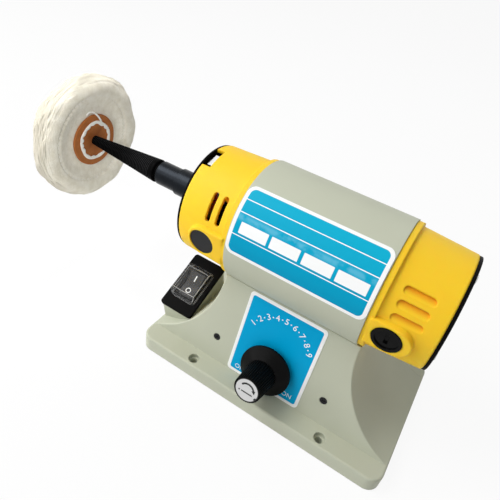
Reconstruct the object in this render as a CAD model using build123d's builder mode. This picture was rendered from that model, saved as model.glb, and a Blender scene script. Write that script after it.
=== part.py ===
from build123d import *
import os
from math import atan2, cos, degrees, radians, sin, sqrt, tan

# Bench polisher: a brushed motor on a scooped pedestal drives a tapered spindle with a cloth buff.
# Sizes are in millimetres. X runs along the motor axis with the spindle towards -X, the operator
# stands at -Y and Z is up. The origin is the centre of the foot's underside.

# Fits between pieces
press_gap = 0.02
slip_gap = 0.15
running_gap = 0.05
glue_gap = 0.05
tap_allowance = 0.5

# Foot and pedestal
foot_length = 192.0
foot_depth = 116.6
foot_height = 12.0
foot_corner = 9.0
foot_edge_round = 1.5
base_wall = 3.0
pedestal_depth = 86.0
panel_lean = 13.6
panel_edge_round = 0.9
saddle_edge_round = 0.6
scoop_depth = 46.0
scoop_radius = 68.0
axis_height = 111.3

# Bench bolts and bottom cover
bench_spacing_x = 102.6
bench_spacing_y = 104.0
bench_hole_radius = 2.5
bench_counterbore_radius = 4.0
bench_counterbore_depth = 3.0
bench_boss_wall = 2.0
cover_thickness = 1.5
cover_recess = 2.0
cover_ledge = 2.0
cover_screw_inset_x = 17.0
cover_screw_inset_y = 10.0
cover_screw_radius = 1.5
cover_screw_length = 6.0
cover_boss_wall = 2.5

# Motor housing and the screws that hold it to the saddle
housing_radius = 42.2
housing_length = 93.4
housing_wall = 3.0
housing_boss_inset = 20.7
housing_boss_radius = 6.0
housing_screw_radius = 2.5
housing_screw_length = 7.0
housing_screw_head_radius = 4.5
housing_screw_head_height = 3.0
washer_radius = 9.5
washer_thickness = 1.5
pad_wall = 5.0
pad_drop = 0.5
wire_hole_radius = 4.0
wire_hole_inset = 6.0

# End caps
cap_setback = 2.8
cap_wall = 2.4
flange_setback = 0.8
flange_width = 3.8
spigot_length = 3.0
drive_cap_length = 38.5
brush_cap_length = 37.9
drive_cap_draft = 1.4
brush_cap_draft = 2.3
cap_end_round = 1.2
brush_boss_radius = 10.3
plug_boss_radius = 11.0
boss_tilt = -7.5
brush_boss_shift = 3.6
brush_boss_round = 0.8
plug_boss_round = 1.2
brush_offset = 14.0
plug_offset = 17.6
plug_seat_radius = 9.0
plug_seat_depth = 2.0
drive_plate_thickness = 1.6
brush_plate_thickness = 2.0
end_plate_setback = 0.4
end_plate_round = 0.6
collar_clearance = 0.7

# Drive-end vents and window
vent_slot_width = 3.6
vent_slot_span = 19.0
vent_slot_angle = 28.0
vent_slot_offset = 10.0
vent_slot_pitch = 7.5
window_width = 16.6
window_depth = 6.6
window_angle = 74.0

# Brush-end louvres
louvre_length = 18.0
louvre_width = 5.0
louvre_depth = 1.8
louvre_offset = 10.3
louvre_angle = 12.4
louvre_pitch = 12.3
louvre_count = 3

# Through bolts
bolt_count = 4
bolt_radius = 1.75
bolt_head_radius = 2.8
bolt_head_height = 2.6
bolt_boss_width = 8.0
bolt_boss_length = 13.0
end_wall_thickness = 3.3
end_recess = 3.2

# Bearings
front_bearing_radius = 16.0
front_bearing_width = 10.0
rear_bearing_radius = 11.0
rear_bearing_width = 7.0
race_wall_share = 0.28
front_ball_count = 8
rear_ball_count = 7
bearing_seat_wall = 3.5
bracket_arm_width = 10.0
bracket_arm_thickness = 4.0
bracket_lug_width = 8.4
bracket_lug_inset = 3.8
bracket_arms = 4
bracket_lug_length = 10.0
bracket_setback = 1.8
bracket_lip = 1.5
plate_screw_radius = 1.5
plate_screw_head_radius = 2.8
plate_screw_head_height = 1.4
plate_screw_length = 12.0
end_screw_count = 3
end_screw_boss_radius = 4.0

# Stator
stack_length = 44.0
yoke_thickness = 10.4
rotor_air_gap = 0.7
pole_shoe_thickness = 4.0
pole_width = 24.0
pole_gap_height = 26.0
coil_overhang = 8.0
coil_gap = 0.3
coil_thickness = 3.0

# Armature
shaft_radius = 6.0
rear_journal_radius = 4.0
slot_count = 12
slot_width = 3.0
slot_depth = 7.0
winding_overhang = 12.0
winding_inset = 2.0
winding_clearance = 4.0
commutator_radius = 14.0
commutator_length = 18.0
commutator_bars = 24
commutator_groove = 0.6
fan_clearance = 1.1
fan_width = 14.0
fan_hub_radius = 11.0
fan_disc_thickness = 2.0
fan_blades = 12
fan_blade_thickness = 1.6
fan_gap = 3.5

# Brush gear
holder_radius = 8.0
holder_stop = 3.0
brush_width = 6.0
brush_depth = 9.0
brush_length = 14.0
spring_radius = 2.9
spring_wire = 0.7
spring_turns = 4
plug_radius = 8.8
brush_cap_proud = 0.4
plug_sunk = 0.5
cap_stem_radius = 6.3
cap_stem_length = 5.0
brush_cap_rim = 1.9
brush_cap_dish = 0.8
driver_slot_width = 2.4
driver_slot_length = 7.0
driver_slot_depth = 1.2

# Adapter sleeve, spindle and buff
sleeve_collar_radius = 9.9
sleeve_collar_length = 27.6
sleeve_radius = 8.8
sleeve_length = 18.0
sleeve_chamfer = 0.8
sleeve_nose_length = 2.0
stub_radius = 5.0
stub_length = 8.0
shaft_end_gap = 0.5
grub_radius = 2.0
grub_inset = 0.3
neck_length = 2.4
neck_radius = 7.0
spindle_large_radius = 8.75
spindle_tip_radius = 2.1
spindle_length = 83.6
buff_setback = 64.4
buff_radius = 48.6
buff_hub_thickness = 12.0
buff_rim_thickness = 19.0
buff_rim_round = 7.5
leather_radius = 20.5
leather_thickness = 2.0

# Front panel: label, knob, potentiometer, speed board
label_thickness = 0.3
label_low_angle = -1.1
label_high_angle = 60.6
label_margin = 0.5
label_corner = 5.0
panel_label_width = 57.2
panel_label_gap = 1.4
panel_label_margin = 0.5
panel_label_hole = 8.0
panel_label_corner = 3.0
knob_rise = 18.4
knob_skirt_radius = 18.4
knob_skirt_edge = 1.6
knob_skirt_height = 6.8
knob_waist_radius = 10.9
knob_top_radius = 9.5
knob_height = 26.5
knob_clearance = 3.9
knob_cavity_radius = 9.0
knob_cavity_height = 7.0
knob_disc_radius = 8.4
knob_disc_thickness = 0.6
knob_disc_proud = 0.1
knob_flutes = 40
knob_flute_radius = 0.55
knob_top_round = 0.7
pot_body_radius = 12.0
pot_body_depth = 10.0
pot_floor = 1.0
pot_bush_radius = 4.5
pot_bush_height = 7.0
pot_shaft_radius = 3.0
pot_shaft_height = 20.5
pot_nut_flats = 12.0
pot_nut_thickness = 2.2
panel_screw_inset = 7.2
panel_screw_rise = 18.5
panel_screw_radius = 1.5
panel_screw_head_radius = 2.6
panel_screw_head_height = 1.5
panel_screw_slot = 0.8
panel_screw_recess = 1.8
spacer_radius = 3.5
spacer_length = 15.0
board_edge = 5.2
board_height = 30.0
board_thickness = 1.6
board_nut_flats = 5.5
board_nut_thickness = 2.4
capacitor_length = 18.0
capacitor_width = 9.0
capacitor_height = 14.0
triac_width = 10.0
triac_thickness = 4.5
triac_height = 15.0
heat_sink_width = 26.0
heat_sink_height = 24.0
heat_sink_depth = 12.0
heat_sink_plate = 3.0
heat_sink_fins = 5
heat_sink_fin_thickness = 1.6

# Rocker switch on its pod
switch_tilt = 26.0
switch_y = -17.5
switch_z = 41.9
switch_plate_width = 27.6
switch_plate_length = 47.4
switch_plate_thickness = 3.0
switch_plate_corner = 2.5
switch_plate_round = 0.5
switch_plate_inset = 0.4
pod_overhang = 1.2
pod_lean = 13.5
pod_wall = 2.5
switch_wall = 1.2
switch_depth = 20.0
switch_flange = 0.8
switch_bezel = 1.4
switch_well_depth = 7.0
rocker_width = 12.0
rocker_length = 20.4
rocker_throw = 9.0
rocker_pivot_depth = 3.5
rocker_pin_radius = 1.2
rocker_end_height = 2.2
rocker_middle_height = 0.8
rocker_clearance = 1.1
rocker_side_gap = 0.3
rocker_skirt = 1.2
rain_cover_width = 20.8
rain_cover_length = 28.8
rain_cover_height = 7.0
rain_cover_wall = 0.9
rain_cover_draft = 4.0
rain_cover_foot = 2.0
rain_cover_end_angle = 50.0
terminal_width = 4.8
terminal_length = 8.0
terminal_thickness = 0.8
terminal_pitch = 7.0

# Cord gland in the rear panel
gland_rise = 20.0
gland_bore_radius = 3.5
gland_thread_radius = 6.5
gland_flats = 17.0
gland_head_length = 7.0
gland_thread_length = 11.0
gland_nut_thickness = 3.0

# Values that follow from the sizes above
half_housing = housing_length / 2
saddle_radius = housing_radius + slip_gap
waist_width = foot_length - 2 * scoop_depth
scoop_centre = waist_width / 2 + scoop_radius
pedestal_end = foot_length / 2 - foot_edge_round
scoop_height = foot_height + sqrt(scoop_radius**2 - (scoop_centre - pedestal_end) ** 2)
lean = radians(panel_lean)
cap_radius = housing_radius - cap_setback
drive_end_radius = cap_radius - drive_cap_draft
brush_end_radius = cap_radius - brush_cap_draft
cap_inner_radius = cap_radius - cap_wall
drive_inner_radius = drive_end_radius - cap_wall
brush_inner_radius = brush_end_radius - cap_wall
flange_radius = housing_radius - flange_setback
boss_reach = flange_radius
housing_inner_radius = housing_radius - housing_wall
drive_cap_end = -(half_housing + drive_cap_length)
brush_cap_end = half_housing + brush_cap_length
drive_plate_face = drive_cap_end - drive_plate_thickness
brush_x = half_housing + brush_offset
bolt_circle = brush_inner_radius - bolt_head_radius - 2 * slip_gap
motor_axis = Axis((0, 0, axis_height), (1, 0, 0))
motor_plane = Plane((0, 0, axis_height), x_dir=(1, 0, 0), z_dir=(0, -1, 0))
switch_x = -(foot_length / 2 - switch_plate_width / 2 - switch_plate_inset)
switch_plane = Plane(
    (switch_x, switch_y, switch_z),
    x_dir=(1, 0, 0),
    z_dir=(0, -sin(radians(switch_tilt)), cos(radians(switch_tilt))),
)

upwards = (Align.CENTER, Align.CENTER, Align.MIN)
downwards = (Align.CENTER, Align.CENTER, Align.MAX)
outward = (Align.MIN, Align.CENTER)

os.makedirs("parts", exist_ok=True)


def cross_plane(x):
    """Plane across the motor axis at x: local x points to the operator, local y up, normal to -X."""
    return Plane((x, 0, axis_height), x_dir=(0, -1, 0), z_dir=(-1, 0, 0))


def turned(plane, *points):
    """Half section for turning, from points on a plane through the axis of turning."""
    with BuildSketch(plane) as section:
        with BuildLine():
            Polyline(*points, close=True)
        make_face()
    return section.sketch


def surface_plane(x, angle, radius, slope=0.0):
    """Plane on a cone about the motor axis: local x along it, falling by the slope, normal outwards."""
    outwards = Vector(0, -cos(radians(angle)), sin(radians(angle)))
    along = Vector(1, 0, 0) - outwards * slope
    normal = outwards + Vector(1, 0, 0) * slope
    return Plane(Vector(x, 0, axis_height) + outwards * radius, x_dir=along, z_dir=normal)


def panel_plane(rise, x=0.0, rear=False):
    """Plane on the front (or rear) panel at a distance up its slope from the foot, normal outwards."""
    side = 1 if rear else -1
    y = side * (pedestal_depth / 2 - rise * sin(lean))
    z = foot_height + rise * cos(lean)
    return Plane((x, y, z), x_dir=(-side, 0, 0), z_dir=(0, side * cos(lean), sin(lean)))


def save(piece, name):
    """Names a finished piece and writes its file."""
    piece.part.label = name
    export_step(piece.part, f"parts/{name}.step")


# Base: foot, pedestal and switch pod in one moulding, hollow from below


def pedestal_side(inset, bottom):
    """Pedestal seen along the motor axis, its slanted panels moved in by the inset."""
    foot_half = pedestal_depth / 2 - inset / cos(lean)
    top_half = foot_half - (axis_height - foot_height) * tan(lean)
    with BuildSketch(Plane.YZ) as side:
        with BuildLine():
            Polyline(
                (-foot_half, bottom),
                (foot_half, bottom),
                (foot_half, foot_height),
                (top_half, axis_height),
                (-top_half, axis_height),
                (-foot_half, foot_height),
                close=True,
            )
        make_face()
    return side.sketch


def scoops(radius):
    """The round hollows at both sides of the pedestal, seen from the front."""
    with BuildSketch(Plane.XZ) as hollows:
        with Locations((-scoop_centre, scoop_height), (scoop_centre, scoop_height)):
            Circle(radius)
    return hollows.sketch


def pod_side(start, inset, rise, bottom):
    """Switch pod seen along the motor axis at x = start, its walls moved in by the inset."""
    half = switch_plate_length / 2 - pod_overhang - inset
    front = switch_plane.from_local_coords((0, -half, rise))
    rear = switch_plane.from_local_coords((0, half, rise))
    front_foot = front.Y + (front.Z - bottom) * tan(radians(pod_lean))
    rear_foot = rear.Y + (rear.Z - bottom) * tan(radians(pod_lean))
    with BuildSketch(Plane.YZ.offset(start)) as side:
        with BuildLine():
            Polyline(
                (front_foot, bottom),
                (front.Y, front.Z),
                (rear.Y, rear.Z),
                (rear_foot, bottom),
                close=True,
            )
        make_face()
    return side.sketch


cavity_length = foot_length - 2 * (base_wall + cover_ledge)
cavity_depth = foot_depth - 2 * (base_wall + cover_ledge)
pad_face = axis_height - saddle_radius - base_wall - pad_drop
housing_boss_x = half_housing - housing_boss_inset
housing_boss_places = [(-housing_boss_x, 0, pad_face), (housing_boss_x, 0, pad_face)]
wire_hole_place = (half_housing - wire_hole_inset, 0, axis_height - housing_radius)
cover_screw_places = GridLocations(
    foot_length - 2 * cover_screw_inset_x, foot_depth - 2 * cover_screw_inset_y, 2, 2
).locations
bench_boss_radius = bench_counterbore_radius + bench_boss_wall
bench_places = GridLocations(bench_spacing_x, bench_spacing_y, 2, 2).locations
panel_screw_x = waist_width / 2 - panel_screw_inset
panel_screw_places = [panel_plane(panel_screw_rise, x) for x in (-panel_screw_x, panel_screw_x)]
knob_plane = panel_plane(knob_rise)
gland_plane = panel_plane(gland_rise, rear=True)
pod_width = switch_plate_width - 2 * pod_overhang
pod_start = switch_x - pod_width / 2

with BuildPart() as pedestal_block:
    extrude(pedestal_side(0, foot_height / 2), amount=pedestal_end, both=True)
    extrude(scoops(scoop_radius), amount=foot_depth, both=True, mode=Mode.SUBTRACT)
    fillet(pedestal_block.edges().filter_by(GeomType.ELLIPSE), panel_edge_round)

with BuildPart() as pedestal_hollow:
    extrude(pedestal_side(base_wall, cover_recess), amount=cavity_length / 2, both=True)
    extrude(scoops(scoop_radius + base_wall), amount=foot_depth, both=True, mode=Mode.SUBTRACT)
    with BuildSketch(cross_plane(0)):
        Circle(saddle_radius + base_wall)
    extrude(amount=foot_length, both=True, mode=Mode.SUBTRACT)
    with Locations(*housing_boss_places):
        Cylinder(
            housing_boss_radius + pad_wall,
            axis_height,
            align=upwards,
            mode=Mode.SUBTRACT,
        )

with BuildPart() as base_shell:
    with BuildSketch():
        RectangleRounded(foot_length, foot_depth, foot_corner)
    extrude(amount=foot_height)
    fillet(base_shell.edges().group_by(Axis.Z)[-1], foot_edge_round)
    add(pedestal_block.part)
    extrude(pod_side(pod_start, 0, -switch_plate_thickness, foot_height / 2), amount=pod_width)
    with BuildSketch(cross_plane(0)):
        Circle(saddle_radius)
    extrude(amount=foot_length, both=True, mode=Mode.SUBTRACT)
    fillet(base_shell.edges(Select.NEW).filter_by(Axis.X), saddle_edge_round)
    add(pedestal_hollow.part, mode=Mode.SUBTRACT)
    with BuildSketch(Plane.XY.offset(cover_recess)):
        RectangleRounded(cavity_length, cavity_depth, max(foot_corner - base_wall - cover_ledge, 1))
    extrude(amount=foot_height - base_wall - cover_recess, mode=Mode.SUBTRACT)
    with BuildSketch():
        RectangleRounded(
            foot_length - 2 * base_wall, foot_depth - 2 * base_wall, max(foot_corner - base_wall, 1)
        )
    extrude(amount=cover_recess, mode=Mode.SUBTRACT)
    pod_hollow = pod_side(pod_start + pod_wall, pod_wall, 0, cover_recess)
    extrude(pod_hollow, amount=pod_width - 2 * pod_wall, mode=Mode.SUBTRACT)
    with Locations(*bench_places):
        Cylinder(
            bench_boss_radius,
            foot_height - foot_edge_round,
            align=upwards,
        )
    with Locations((0, 0, cover_recess)):
        with Locations(*cover_screw_places):
            Cylinder(
                cover_screw_radius + cover_boss_wall,
                foot_height - base_wall,
                align=upwards,
            )
            Cylinder(
                cover_screw_radius + press_gap,
                cover_screw_length + tap_allowance,
                align=upwards,
                mode=Mode.SUBTRACT,
            )
    with Locations((0, 0, foot_height)):
        with Locations(*bench_places):
            CounterBoreHole(bench_hole_radius, bench_counterbore_radius, bench_counterbore_depth)
    with Locations(*housing_boss_places):
        Cylinder(housing_boss_radius + slip_gap, 4 * base_wall + 4 * pad_drop, mode=Mode.SUBTRACT)
    with Locations(wire_hole_place):
        Cylinder(wire_hole_radius, 4 * base_wall, mode=Mode.SUBTRACT)
    with Locations(knob_plane):
        Cylinder(pot_bush_radius + slip_gap, 4 * base_wall, mode=Mode.SUBTRACT)
    with Locations(*panel_screw_places):
        CounterBoreHole(
            panel_screw_radius + slip_gap,
            panel_screw_head_radius + slip_gap,
            panel_screw_recess,
            2 * base_wall,
        )
    with Locations(gland_plane):
        Cylinder(gland_thread_radius + slip_gap, 4 * base_wall, mode=Mode.SUBTRACT)
save(base_shell, "base_shell")

# Bottom cover, set into the foot, and its countersunk screws

cover_face = cover_recess - cover_thickness

with BuildPart() as bottom_cover:
    with BuildSketch(Plane.XY.offset(cover_face)):
        RectangleRounded(
            foot_length - 2 * (base_wall + slip_gap),
            foot_depth - 2 * (base_wall + slip_gap),
            max(foot_corner - base_wall, 1),
        )
        with Locations(*bench_places):
            Circle(bench_boss_radius + slip_gap, mode=Mode.SUBTRACT)
    extrude(amount=cover_thickness)
    with Locations((0, 0, cover_face)):
        with Locations(*cover_screw_places):
            Cone(
                cover_screw_radius + cover_thickness + slip_gap,
                cover_screw_radius + slip_gap,
                cover_thickness,
                align=upwards,
                mode=Mode.SUBTRACT,
            )
save(bottom_cover, "bottom_cover")

with BuildPart() as cover_screws:
    with Locations((0, 0, cover_face)):
        with Locations(*cover_screw_places):
            Cone(cover_screw_radius + cover_thickness, cover_screw_radius, cover_thickness, align=upwards)
    with Locations((0, 0, cover_recess)):
        with Locations(*cover_screw_places):
            Cylinder(cover_screw_radius, cover_screw_length, align=upwards)
save(cover_screws, "cover_screws")

# Motor housing on the saddle, held from below by two screws with washers

with BuildPart() as motor_housing:
    with BuildSketch(cross_plane(half_housing)):
        Circle(housing_radius)
    extrude(amount=housing_length)
    with Locations(*housing_boss_places):
        with Locations((0, 0, pad_drop)):
            Cylinder(housing_boss_radius, housing_radius / 2, align=upwards)
    with BuildSketch(cross_plane(half_housing)):
        Circle(housing_inner_radius)
    extrude(amount=housing_length, mode=Mode.SUBTRACT)
    with Locations(*housing_boss_places):
        Cylinder(
            housing_screw_radius + press_gap,
            housing_screw_length - washer_thickness + tap_allowance,
            align=upwards,
            mode=Mode.SUBTRACT,
        )
    with Locations(wire_hole_place):
        Cylinder(wire_hole_radius, 4 * housing_wall, mode=Mode.SUBTRACT)
save(motor_housing, "motor_housing")

with BuildPart() as housing_washers:
    with Locations(*housing_boss_places):
        Cylinder(washer_radius, washer_thickness, align=downwards)
        Cylinder(housing_screw_radius + slip_gap, 2 * washer_thickness, mode=Mode.SUBTRACT)
save(housing_washers, "housing_washers")

with BuildPart() as housing_screws:
    with Locations(*housing_boss_places):
        with Locations((0, 0, -washer_thickness)):
            Cylinder(housing_screw_head_radius, housing_screw_head_height, align=downwards)
            Cylinder(housing_screw_radius, housing_screw_length, align=upwards)
save(housing_screws, "housing_screws")

# Drive-end cap with vents, window, bolt bosses and lugs for the bearing bracket

spigot_radius = housing_inner_radius - slip_gap
drive_x = -half_housing - plug_offset
bracket_face = drive_cap_end + bracket_setback
lug_face = bracket_face + bracket_arm_thickness
lug_circle = drive_inner_radius - bracket_lug_inset
cap_cut = cap_wall + drive_cap_draft + vent_slot_span**2 / (8 * cap_radius)
plug_hole_depth = plug_seat_depth + cap_stem_length + tap_allowance
bolt_boss_inner = bolt_circle - bolt_boss_width / 2
bracket_lug_inner = lug_circle - bracket_lug_width / 2
boss_plane = surface_plane(0, boss_tilt, 0)
boss_axis = Axis(boss_plane.origin, boss_plane.z_dir)
boss_angles = (boss_tilt, 180 + boss_tilt)
plug_planes = [surface_plane(drive_x, angle, boss_reach) for angle in boss_angles]
brush_slope = brush_cap_draft / (brush_cap_length - flange_width)
vent_planes = [
    surface_plane(-half_housing - vent_slot_offset - row * vent_slot_pitch, angle, cap_radius)
    for row in (0, 1)
    for angle in (vent_slot_angle, 180 - vent_slot_angle)
]


def boss_outline(face, centre, radius):
    """Stadium boss of a cap seen from the front: from the flange to a round end."""
    start = face + flange_width / 2 * (1 if centre > face else -1)
    with BuildSketch(boss_plane) as outline:
        with Locations((centre, 0)):
            Circle(radius)
        with Locations(((start + centre) / 2, 0)):
            Rectangle(abs(centre - start), 2 * radius)
    return outline.sketch


with BuildPart() as drive_bosses:
    extrude(boss_outline(-half_housing, drive_x, plug_boss_radius), amount=boss_reach, both=True)
    fillet(drive_bosses.faces().filter_by(boss_axis).edges(), plug_boss_round)
    with BuildSketch(cross_plane(0)):
        Circle(cap_inner_radius)
    extrude(amount=-drive_cap_end, mode=Mode.SUBTRACT)

with BuildPart() as drive_end_cap:
    drive_section = turned(
        motor_plane,
        (-half_housing, flange_radius),
        (-half_housing - flange_width, flange_radius),
        (-half_housing - flange_width, cap_radius),
        (drive_cap_end, drive_end_radius),
        (drive_cap_end, drive_inner_radius),
        (spigot_length - half_housing, cap_inner_radius),
        (spigot_length - half_housing, spigot_radius),
        (-half_housing, spigot_radius),
    )
    revolve(drive_section, axis=motor_axis)
    fillet(drive_end_cap.edges().group_by(Axis.X)[0].sort_by(SortBy.RADIUS)[-1], cap_end_round)
    add(drive_bosses.part)
    with BuildSketch(cross_plane(-half_housing)):
        with PolarLocations(bolt_boss_inner, bolt_count, start_angle=45):
            Rectangle(cap_radius - cap_wall / 2 - bolt_boss_inner, bolt_boss_width, align=outward)
        with PolarLocations(bolt_circle, bolt_count, start_angle=45):
            Circle(bolt_radius + press_gap, mode=Mode.SUBTRACT)
    extrude(amount=bolt_boss_length)
    with BuildSketch(cross_plane(lug_face)):
        with PolarLocations(bracket_lug_inner, bracket_arms, start_angle=window_angle):
            Rectangle(drive_end_radius - cap_wall / 2 - bracket_lug_inner, bracket_lug_width, align=outward)
        with PolarLocations(lug_circle, bracket_arms, start_angle=window_angle):
            Circle(plate_screw_radius + press_gap, mode=Mode.SUBTRACT)
    extrude(amount=-bracket_lug_length)
    with BuildSketch(*vent_planes):
        SlotOverall(vent_slot_span, vent_slot_width, rotation=90)
    extrude(amount=cap_cut, both=True, mode=Mode.SUBTRACT)
    with BuildSketch(surface_plane(drive_cap_end, window_angle, drive_end_radius)):
        Rectangle(2 * window_depth, window_width)
    extrude(amount=cap_cut, both=True, mode=Mode.SUBTRACT)
    with Locations(*plug_planes):
        CounterBoreHole(holder_radius + slip_gap, plug_seat_radius, plug_seat_depth, plug_hole_depth)
save(drive_end_cap, "drive_end_cap")

with BuildPart() as cap_plugs:
    with Locations(*plug_planes):
        with Locations((0, 0, -plug_seat_depth)):
            Cylinder(plug_radius, plug_seat_depth - plug_sunk, align=upwards)
            Cylinder(holder_radius, cap_stem_length, align=downwards)
save(cap_plugs, "cap_plugs")

# Bearing bracket behind the window, closed off by the drive-end plate

with BuildPart() as bearing_bracket:
    with BuildSketch(cross_plane(lug_face)):
        with PolarLocations(0, bracket_arms, start_angle=window_angle):
            Rectangle(drive_inner_radius - 3 * slip_gap, bracket_arm_width, align=outward)
    extrude(amount=bracket_arm_thickness)
    hub_section = turned(
        motor_plane,
        (bracket_face, 0),
        (bracket_face, front_bearing_radius + bearing_seat_wall),
        (bracket_face + front_bearing_width + bracket_lip, front_bearing_radius + bearing_seat_wall),
        (bracket_face + front_bearing_width + bracket_lip, 0),
    )
    revolve(hub_section, axis=motor_axis)
    seat_section = turned(
        motor_plane,
        (bracket_face, 0),
        (bracket_face, front_bearing_radius + press_gap),
        (bracket_face + front_bearing_width, front_bearing_radius + press_gap),
        (bracket_face + front_bearing_width, front_bearing_radius - bracket_lip),
        (bracket_face + front_bearing_width + bracket_lip, front_bearing_radius - bracket_lip),
        (bracket_face + front_bearing_width + bracket_lip, 0),
    )
    revolve(seat_section, axis=motor_axis, mode=Mode.SUBTRACT)
    with Locations(cross_plane(lug_face)):
        with PolarLocations(lug_circle, bracket_arms, start_angle=window_angle):
            Cylinder(
                plate_screw_radius + slip_gap, bracket_arm_thickness, align=upwards, mode=Mode.SUBTRACT
            )
save(bearing_bracket, "bearing_bracket")

with BuildPart() as drive_end_plate:
    with BuildSketch(cross_plane(drive_cap_end)):
        Circle(drive_end_radius - end_plate_setback)
    extrude(amount=drive_plate_thickness)
    fillet(drive_end_plate.edges().group_by(Axis.X)[0], end_plate_round)
    with Locations(cross_plane(drive_cap_end)):
        Cylinder(sleeve_collar_radius + collar_clearance, 4 * drive_plate_thickness, mode=Mode.SUBTRACT)
        with PolarLocations(lug_circle, bracket_arms, start_angle=window_angle):
            Cylinder(bracket_lug_inset - slip_gap, bracket_setback, align=downwards)
            Cylinder(plate_screw_radius + slip_gap, 4 * drive_plate_thickness, mode=Mode.SUBTRACT)
save(drive_end_plate, "drive_end_plate")

with BuildPart() as drive_end_screws:
    with Locations(cross_plane(drive_plate_face)):
        with PolarLocations(lug_circle, bracket_arms, start_angle=window_angle):
            Cylinder(plate_screw_head_radius, plate_screw_head_height, align=upwards)
            Cylinder(plate_screw_radius, plate_screw_length, align=downwards)
save(drive_end_screws, "drive_end_screws")

# Brush-end cap with louvres, brush bosses and the rear bearing seat

end_wall_face = brush_cap_end - end_recess
bearing_stop = end_wall_face - end_wall_thickness
rear_shoulder = bearing_stop - rear_bearing_width
rear_seat_radius = rear_bearing_radius + press_gap
end_screw_circle = bolt_circle - end_screw_boss_radius
end_screw_length = brush_plate_thickness + end_recess + end_wall_thickness / 2
bolt_length = end_wall_face + half_housing + bolt_boss_length - tap_allowance
brush_planes = [surface_plane(brush_x, angle, boss_reach) for angle in boss_angles]
louvre_x = half_housing + louvre_offset + louvre_length / 2
louvre_radius = cap_radius - brush_slope * (louvre_x - half_housing - flange_width)
louvre_angles = [louvre_angle + row * louvre_pitch for row in range(louvre_count)]
louvre_floor = degrees(atan2(louvre_depth, louvre_width))
louvre_planes = [
    surface_plane(louvre_x, angle, louvre_radius - louvre_depth / 2, brush_slope).rotated((turn, 0, 0))
    for front_angle in louvre_angles
    for angle, turn in ((front_angle, -louvre_floor), (180 - front_angle, louvre_floor))
]

with BuildPart() as brush_bosses:
    brush_outline = boss_outline(half_housing, brush_x + brush_boss_shift, brush_boss_radius)
    extrude(brush_outline, amount=boss_reach, both=True)
    fillet(brush_bosses.faces().filter_by(boss_axis).edges(), brush_boss_round)
    with BuildSketch(cross_plane(brush_cap_end)):
        Circle(cap_inner_radius)
    extrude(amount=brush_cap_end, mode=Mode.SUBTRACT)

with BuildPart() as brush_end_cap:
    brush_section = turned(
        motor_plane,
        (half_housing, flange_radius),
        (half_housing + flange_width, flange_radius),
        (half_housing + flange_width, cap_radius),
        (brush_cap_end, brush_end_radius),
        (brush_cap_end, brush_inner_radius),
        (end_wall_face, brush_inner_radius),
        (end_wall_face, 0),
        (bearing_stop, 0),
        (bearing_stop, rear_seat_radius),
        (rear_shoulder, rear_seat_radius),
        (rear_shoulder, rear_seat_radius + bearing_seat_wall),
        (bearing_stop, rear_seat_radius + bearing_seat_wall),
        (bearing_stop, brush_inner_radius),
        (half_housing - spigot_length, cap_inner_radius),
        (half_housing - spigot_length, spigot_radius),
        (half_housing, spigot_radius),
    )
    revolve(brush_section, axis=motor_axis)
    fillet(brush_end_cap.edges().group_by(Axis.X)[-1].sort_by(SortBy.RADIUS)[-1], cap_end_round)
    add(brush_bosses.part)
    with BuildSketch(*louvre_planes):
        SlotOverall(louvre_length, louvre_width)
    extrude(amount=2 * louvre_depth, mode=Mode.SUBTRACT)
    with Locations(*brush_planes):
        CounterBoreHole(holder_radius + slip_gap, plug_seat_radius, plug_seat_depth, plug_hole_depth)
    with Locations(cross_plane(end_wall_face)):
        with PolarLocations(bolt_circle, bolt_count, start_angle=45):
            Cylinder(bolt_radius + slip_gap, end_wall_thickness, align=upwards, mode=Mode.SUBTRACT)
        with PolarLocations(end_screw_circle, end_screw_count, start_angle=90):
            Cylinder(end_screw_boss_radius, end_recess, align=downwards)
            Cylinder(plate_screw_radius + press_gap, 4 * end_wall_thickness, mode=Mode.SUBTRACT)
save(brush_end_cap, "brush_end_cap")

with BuildPart() as brush_end_plate:
    with BuildSketch(cross_plane(brush_cap_end)):
        Circle(brush_end_radius - end_plate_setback)
    extrude(amount=-brush_plate_thickness)
    fillet(brush_end_plate.edges().group_by(Axis.X)[-1], end_plate_round)
    with Locations(cross_plane(brush_cap_end)):
        with PolarLocations(end_screw_circle, end_screw_count, start_angle=90):
            Cylinder(plate_screw_radius + slip_gap, 4 * brush_plate_thickness, mode=Mode.SUBTRACT)
save(brush_end_plate, "brush_end_plate")

with BuildPart() as brush_end_screws:
    with Locations(cross_plane(brush_cap_end + brush_plate_thickness)):
        with PolarLocations(end_screw_circle, end_screw_count, start_angle=90):
            Cylinder(plate_screw_head_radius, plate_screw_head_height, align=downwards)
            Cylinder(plate_screw_radius, end_screw_length, align=upwards)
save(brush_end_screws, "brush_end_screws")

with BuildPart() as through_bolts:
    with Locations(cross_plane(end_wall_face)):
        with PolarLocations(bolt_circle, bolt_count, start_angle=45):
            Cylinder(bolt_head_radius, bolt_head_height, align=downwards)
            Cylinder(bolt_radius, bolt_length, align=upwards)
save(through_bolts, "through_bolts")

# Bearings: outer races and balls stay with the motor, inner races turn with the shaft


def ring(start, end, inner, outer):
    """Half section of a plain ring about the motor axis."""
    return turned(motor_plane, (start, inner), (start, outer), (end, outer), (end, inner))


front_race_wall = race_wall_share * (front_bearing_radius - shaft_radius)
front_end = bracket_face + front_bearing_width
front_ball_circle = (front_bearing_radius + shaft_radius) / 2
front_ball_radius = (front_bearing_radius - shaft_radius) / 2 - front_race_wall - running_gap
rear_race_wall = race_wall_share * (rear_bearing_radius - rear_journal_radius)
rear_ball_circle = (rear_bearing_radius + rear_journal_radius) / 2
rear_ball_radius = (rear_bearing_radius - rear_journal_radius) / 2 - rear_race_wall - running_gap

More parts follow.
